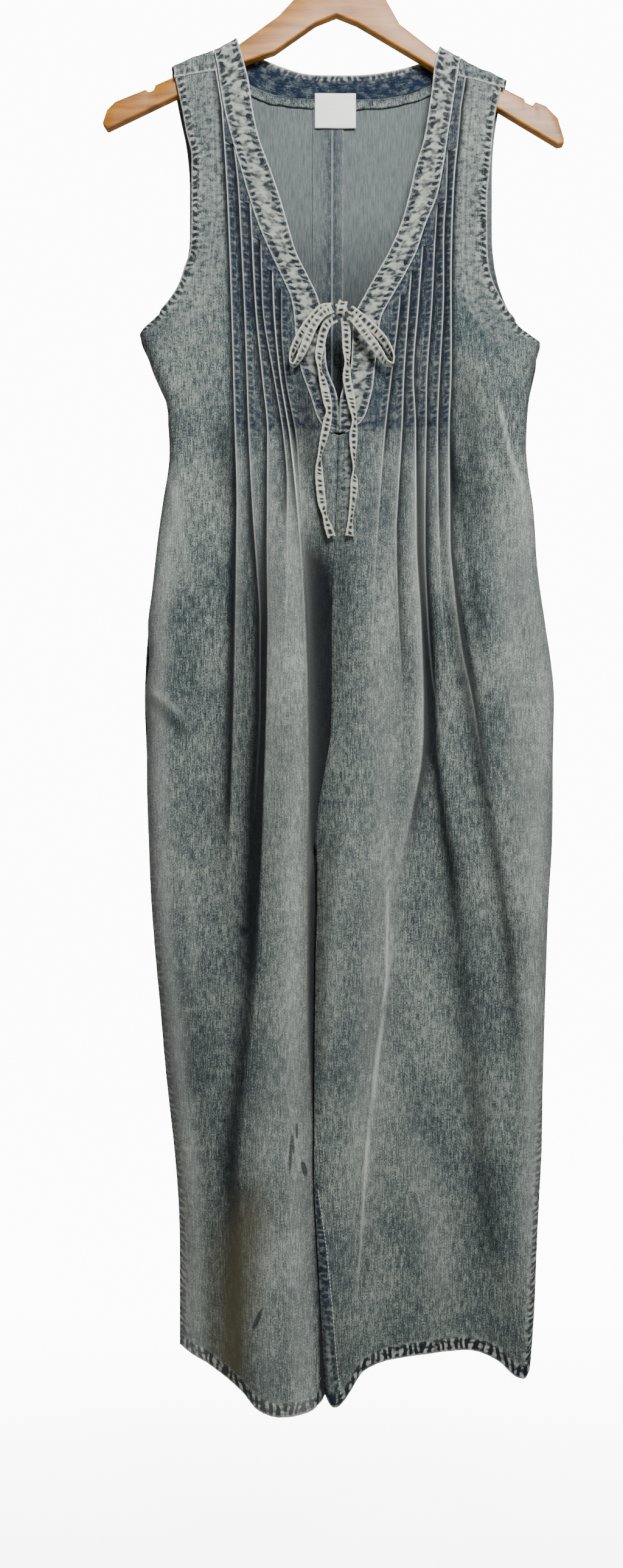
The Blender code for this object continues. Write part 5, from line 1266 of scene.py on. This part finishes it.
def tapeMesh(name, points, side, face, run, material, closed=False):
    width, thick = ties["width"] * mm, ties["thick"] * mm
    crimp = 0.10 * np.sin(2 * np.pi * run / 5.3) + 0.05 * np.sin(2 * np.pi * run / 2.9 + 1)
    crimp = crimp[:, None]
    verts = np.stack([points + side * width * a * (1 + 0.3 * crimp)
                      + face * thick * b * (1 + crimp) for a, b in ties["ring"]], axis=1)
    rows, cols = verts.shape[:2]
    index = np.arange(rows * cols).reshape(rows, cols)
    after = np.roll(index, -1, axis=1)
    faces = np.stack([index[:-1].ravel(), index[1:].ravel(), after[1:].ravel(),
                      after[:-1].ravel()], axis=1).tolist()
    if closed:
        faces += np.stack([index[-1], index[0], after[0], after[-1]], axis=1).tolist()
    else:
        faces += [index[0].tolist()[::-1], index[-1].tolist()]
    piece = newPiece(name, verts.reshape(-1, 3).tolist(), faces, material)
    across = np.tile([a for a, _ in ties["ring"]], rows)
    addMark(piece.data, "middle", peak(across, 0.33, 0, 4))
    addThreadMap(piece.data, np.stack([across * width, np.repeat(run * mm, cols)], axis=1))
    return piece


def tieStrip(name, route, node, material):
    route = np.array(route, dtype=float)
    steps = runOf(route[:, :3])
    place = np.linspace(0, steps[-1], max(8, int(steps[-1] / ties["step"])))
    *where, turn = [along(np.stack([steps, column], axis=1), place) for column in route.T]
    points = toWorld(*where)
    tangent = np.gradient(points, axis=0)
    tangent /= np.linalg.norm(tangent, axis=1, keepdims=True)
    side = np.cross(tangent, np.array((0.0, -1.0, 0.0)))
    side /= np.linalg.norm(side, axis=1, keepdims=True)
    turn = np.radians(turn)[:, None]
    side = side * np.cos(turn) + np.cross(side, tangent) * np.sin(turn)
    piece = tapeMesh(name, points, side, np.cross(side, tangent), place, material)
    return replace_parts(piece, node), points, float(runOf(points)[-1])


def tieKnot(material):
    # the tape wrapped once round the strands, upright and slightly turned
    knot = ties["knot"]
    angle = np.linspace(0, 2 * np.pi, 49)[:-1]
    centre = np.array((knot["x"], -knot["forward"], -knot["drop"])) * mm
    parts = []
    for number, (tall, deep, lean) in enumerate(knot["wraps"]):
        up = np.array((math.sin(lean), 0, math.cos(lean)))
        points = centre + (np.cos(angle)[:, None] * up * tall
                           + np.sin(angle)[:, None] * np.array((0, -1.0, 0)) * deep) * mm
        outward = points - centre
        outward /= np.linalg.norm(outward, axis=1, keepdims=True)
        side = np.repeat([(math.cos(lean), 0, -math.sin(lean))], len(points), axis=0)
        run = angle / (2 * np.pi) * knot["turn"]
        parts.append(tapeMesh(f"tieKnot{number}", points, side, outward, run, material, True))
    bpy.ops.object.select_all(action="DESELECT")
    for part in parts:
        part.select_set(True)
    bpy.context.view_layer.objects.active = parts[0]
    bpy.ops.object.join()
    piece = parts[0]
    piece.name = piece.data.name = "tieKnot"
    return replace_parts(piece, "tie_knot")


# hanger

hanger = dict(
    thick=11.0, round=2.2,
    top=((-226, 216), (-222, 204), (-214, 196), (-184, 184), (-182, 187), (-177, 185),
         (-175, 180), (-157, 172), (-119, 154), (-96, 142), (-56, 113), (-41, 97), (-20, 82),
         (0, 75), (20, 80), (47, 96), (61, 121), (97, 149), (120, 161), (163, 184), (181, 193),
         (183, 197), (190, 200), (192, 196), (202, 200), (214, 212), (220, 232)),
    under=((-226, 217), (-222, 223), (-153, 190), (-104, 164), (-84, 156), (-60, 148),
           (-20, 120), (0, 112), (20, 120), (79, 155), (159, 205), (214, 238), (220, 237)),
    wire=3.6, hookRadius=21.0, hookStart=200, hookTurn=6.5, hookSteps=37,
    shank=((9.0, 39.5), (5.6, 43.4), (3.0, 47.0), (1.2, 50.6), (0.4, 54.0), (0.0, 62.0),
           (0.0, 75.6)),
    middle=-0.16, grainDark="7C4A0A", grainPale="BE7C1C", pore="5A3410", plating="C9CBCE")


def varnishedWood():
    # beech under clear varnish: long flowing grain with darker pores, a soft gloss
    material, tree, shader = newMaterial("varnishedBeech")
    add = partial(addNode, tree)
    place = add("TexCoord", output="Object")
    flow = add("Mapping", {"Vector": place, "Scale": (9, 60, 90),
                           "Rotation": (0, math.radians(4), 0)})
    grain = add("TexNoise", {"Vector": flow, "Scale": 1.6, "Detail": 5.0, "Distortion": 0.6})
    close = add("Mapping", {"Vector": place, "Scale": (60, 600, 900)})
    pore = add("TexNoise", {"Vector": close, "Scale": 1.0, "Detail": 2.0})
    tone = add("ValToRGB", (grain,))
    stops = tone.node.color_ramp.elements
    stops[0].position, stops[0].color = 0.28, linear(hanger["grainDark"])
    stops[1].position, stops[1].color = 0.72, linear(hanger["grainPale"])
    fleck = add("MapRange", {"Value": pore, "From Min": 0.62, "From Max": 0.75, "To Max": 0.45})
    colour = add("Mix", {0: fleck, 6: tone, 7: linear(hanger["pore"])}, **blend)
    bump = add("Bump", {"Strength": 0.25, "Distance": 0.0003, "Height": pore})
    fill(tree, shader, {"Base Color": colour, "Normal": bump, "Roughness": 0.42,
                        "Coat Weight": 0.08, "Coat Roughness": 0.3})
    return material


def woodenHanger():
    # a cube cut upright at every station, whose upper and lower edges are then moved
    bpy.ops.object.select_all(action="DESELECT")
    low, high, middle = hanger["top"][0][0], hanger["top"][-1][0], hanger["middle"]
    bpy.ops.mesh.primitive_cube_add(size=1, location=((low + high) / 2 * mm, 0, middle))
    body = bpy.context.active_object
    body.name = body.data.name = "hangerBody"
    body.scale = ((high - low) * mm, hanger["thick"] * mm, 0.02)
    bpy.ops.object.transform_apply(location=True, rotation=True, scale=True)
    stations = sorted({row[0] for row in hanger["top"] + hanger["under"]})
    bpy.ops.object.mode_set(mode="EDIT")
    for x in stations[1:-1]:
        bpy.ops.mesh.select_all(action="SELECT")
        bpy.ops.mesh.bisect(plane_co=(x * mm, 0, middle), plane_no=(1, 0, 0))
    shape = bmesh.from_edit_mesh(body.data)
    columns = [[v.index for v in shape.verts
                if abs(v.co.x / mm - x) < 0.05 and (v.co.z > middle) == upper]
               for x in stations for upper in (True, False)]
    for number, column in enumerate(columns):
        shape.verts.ensure_lookup_table()
        for vert in shape.verts:
            vert.select = vert.index in column
        shape.select_flush_mode()
        edge = hanger["under" if number % 2 else "top"]
        goal = -float(straight(edge, stations[number // 2])) * mm
        bpy.ops.transform.translate(value=(0, 0, goal - shape.verts[column[0]].co.z))
    bpy.ops.mesh.select_all(action="SELECT")
    bpy.ops.mesh.normals_make_consistent(inside=False)
    bpy.ops.object.mode_set(mode="OBJECT")
    edge = body.modifiers.new("roundedEdges", "BEVEL")
    edge.width = hanger["round"] * mm
    edge.segments = 4
    edge.limit_method = "ANGLE"
    edge.angle_limit = math.radians(50)
    bpy.ops.object.modifier_apply(modifier=edge.name)
    bpy.ops.object.shade_smooth_by_angle(angle=math.radians(35))
    body.data.materials.clear()
    body.data.materials.append(varnishedWood())
    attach(body, "root")
    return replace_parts(body, "hanger_body")


def platedSteel():
    # bright zinc plating, a little cloudy
    finish, tree, shader = newMaterial("zincPlatedSteel")
    place = addNode(tree, "TexCoord", output="Object")
    cloud = addNode(tree, "TexNoise", {"Vector": place, "Scale": 220.0, "Detail": 3.0})
    rough = addNode(tree, "MapRange", {"Value": cloud, "To Min": 0.16, "To Max": 0.36})
    fill(tree, shader, {"Base Color": linear(hanger["plating"]), "Metallic": 1.0,
                        "Roughness": rough})
    return finish


def steelHook():
    # wire bent cold, with a rounded cut end
    bpy.ops.object.select_all(action="DESELECT")
    wire = bpy.data.curves.new("hangerHook", "CURVE")
    wire.dimensions = "3D"
    wire.fill_mode = "FULL"
    wire.bevel_depth = hanger["wire"] / 2 * mm
    wire.bevel_resolution = 6
    wire.use_fill_caps = True
    radius = hanger["hookRadius"]
    centre = radius - hanger["wire"] / 2
    angles = [math.radians(hanger["hookStart"] - step * hanger["hookTurn"])
              for step in range(hanger["hookSteps"])]
    points = [(radius * math.cos(angle), centre - radius * math.sin(angle)) for angle in angles]
    points += hanger["shank"]
    spline = wire.splines.new("POLY")
    spline.points.add(len(points) - 1)
    for point, (x, drop) in zip(spline.points, points):
        point.co = (x * mm, 0, -drop * mm, 1)
    hook = bpy.data.objects.new("hangerHook", wire)
    bpy.context.collection.objects.link(hook)
    hook.select_set(True)
    bpy.context.view_layer.objects.active = hook
    bpy.ops.object.convert(target="MESH")
    hook = bpy.context.active_object
    hook.data.shade_smooth()
    hook.data.materials.clear()
    hook.data.materials.append(platedSteel())
    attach(hook, "root")
    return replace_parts(hook, "hanger_hook")


# topstitching

sewing = dict(length=2.5, gap=0.8, thread=0.26, proud=0.16, ends=0.45, armhole=6.2, band=3.0,
              hem=13.5, felled=13.0, step=0.5, grey=("5C666B", "8D9694"),
              pale=("B9BEB6", "E2E5DC"), stripThick=1.8)


def threadFinish(name, deep, pale):
    # spun polyester core thread: matt, a little uneven in tone after the wash
    material, tree, shader = newMaterial(name)
    place = addNode(tree, "TexCoord", output="Object")
    shade = addNode(tree, "TexNoise", {"Vector": place, "Scale": 400.0, "Detail": 2.0})
    colour = addNode(tree, "Mix", {0: shade, 6: linear(deep), 7: linear(pale)}, **blend)
    fill(tree, shader, {"Base Color": colour, "Roughness": 0.7})
    return material


def surfaceOf(piece):
    return BVHTree.FromObject(piece, bpy.context.evaluated_depsgraph_get())


def sewAlong(surface, path, fromBack=False):
    # stitches on a surface below a drawn line of (x, drop) points
    path = np.array(path, dtype=float)
    run = runOf(path)
    where = np.arange(0, run[-1], sewing["step"])
    start, way = (0.3, Vector((0, -1, 0))) if fromBack else (-0.3, Vector((0, 1, 0)))
    points, normals = [], []
    for x, level in zip(*(np.interp(where, run, column) for column in path.T)):
        hit, normal, _, _ = surface.ray_cast(Vector((x * mm, start, -level * mm)), way)
        if hit is not None:
            points.append(hit)
            normals.append(-normal if normal.dot(way) > 0 else normal)
    if len(points) < 8:
        return []
    points, normals = np.array(points), np.array(normals)
    run = runOf(points) / mm
    stitches = []
    begin = 0.0
    while begin + sewing["length"] < run[-1]:
        at = begin + sewing["length"] * np.array((0.0, 0.5, 1.0))
        p = np.stack([np.interp(at, run, column) for column in points.T], axis=1)
        n = np.stack([np.interp(at[1], run, column) for column in normals.T])
        if np.linalg.norm(p[2] - p[0]) < sewing["length"] * 1.6 * mm:
            stitches.append((p, n / np.linalg.norm(n)))
        begin += sewing["length"] + sewing["gap"]
    return stitches


def threadPiece(name, stitches, material, thick=1.0):
    verts, faces = [], []
    half = sewing["thread"] * thick * mm
    for points, normal in stitches:
        way = points[2] - points[0]
        side = np.cross(way / np.linalg.norm(way), normal)
        side /= np.linalg.norm(side)
        first = len(verts)
        ends = sewing["ends"]
        for point, grow, lift in zip(points, (ends, 1.0, ends), (0.0, sewing["proud"], 0.0)):
            centre = point + normal * lift * mm
            verts += [tuple(centre + way * half * grow)
                      for way in (side, normal, -side, -normal)]
        for ring in (first, first + 4):
            faces += [(ring + k, ring + (k + 1) % 4, ring + (k + 1) % 4 + 4, ring + k + 4)
                      for k in range(4)]
        faces += [tuple(range(first + 3, first - 1, -1)), tuple(range(first + 8, first + 12))]
    return newPiece(name, verts, faces, material)


def offsetLine(table, inset, fromDrop, toDrop):
    # a line that runs beside an edge given as (drop, x), inset across it
    drops = np.arange(fromDrop, toDrop, 4.0)
    x = along(table, drops)
    slope = np.gradient(x, drops)
    size = np.sqrt(1 + slope ** 2)
    return np.stack([x + inset / size, drops - inset * slope / size], axis=1)


# putting it together

buildCameraAndLights()
buildBackdrop()
print("studio ready")
denim = washedDenim("stoneWashedSlubDenim", denimLook)
bandDenim = washedDenim("doubledBandDenim", dict(
    denimLook, slubLength=7.0, mottle=7.0, puckerWide=8.5, puckerTall=6.0, insideShare=0.0,
    puckerLight="B4B9AE", marks=()))
tape = tieTape()

cords = {}
for kind in ("Lead", "Loop", "Tail"):
    for hand in (-1, 1):
        cords[kind, hand] = tieStrip(sided("tie" + kind, hand), ties[sided(kind.lower(), hand)],
                                     sided(f"tie_{kind.lower()}_", hand), tape)
knotPiece = tieKnot(tape)
for kind, farEnd in (("Loop", "knot"), ("Tail", "bare")):
    for hand in (-1, 1):
        extras = [cords["Lead", hand][0]] if kind == "Loop" else []
        if kind == "Loop" and hand < 0:
            extras = [knotPiece] + extras
print("ties done")

wood = woodenHanger()
steelHook()
print("hanger done")

panels = {}
for hand in (-1, 1):
    panels["front", hand] = frontSheet(hand, denim)
    panels["back", hand] = backSheet(hand, denim)
    panels["shoulder", hand] = shoulderPiece(hand, denim)
    panels["band", hand], panels["bandLength", hand] = frontBand(hand, bandDenim)
backNeck, backNeckLength = backBand(bandDenim)
neckExtras = [allowancePiece(bandDenim), labelPiece()]
backExtras = [backSeamStrip([surfaceOf(panels["back", hand]) for hand in (-1, 1)], denim),
              crotchStay(denim)]
print("cloth done")

thread = threadFinish("spunGreyThread", *sewing["grey"])
paleThread = threadFinish("spunPaleThread", *sewing["pale"])
frontStitches, backStitches = [], []
for hand in (-1, 1):
    p = fronts[hand]
    front, back, band = (surfaceOf(panels[kind, hand]) for kind in ("front", "back", "band"))
    upTo = p["side"][0][0] - 4
    for surface, path in (
            (front, offsetLine(p["armhole"], -hand * sewing["armhole"], 190, upTo)),
            (front, p["facing"]),
            (front, [(x, drop - sewing["hem"]) for x, drop, _ in p["hem"]]),
            (band, offsetLine(p["band"], -hand * sewing["band"], 176, 508)),
            (band, offsetLine(neckBand["inner"][hand], hand * sewing["band"], 170, 478))):
        frontStitches += sewAlong(surface, path)
    for path in (offsetLine(backs["armhole"][hand], -hand * sewing["armhole"], 190, upTo),
                 [(x, drop - sewing["hem"]) for x, drop, _ in backs["hem"][hand]]):
        backStitches += sewAlong(back, path, True)
rightFrontSurface = surfaceOf(panels["front", 1])
frontStitches += sewAlong(rightFrontSurface, [(x + sewing["felled"], drop)
                                              for drop, x in centreFront if drop > 524])
stripStitches = sewAlong(rightFrontSurface, [(x, d) for d, x in cut["stripLine"] if d > 1180])
backStitches += sewAlong(surfaceOf(panels["back", 1]),
                         [(x + sewing["felled"], drop) for drop, x in backs["centre"]], True)
threadPiece("frontTopstitching", frontStitches, thread)
threadPiece("backTopstitching", backStitches, thread)
threadPiece("stripTopstitching", stripStitches, paleThread, sewing["stripThick"])
print("stitching done", len(frontStitches), len(backStitches))
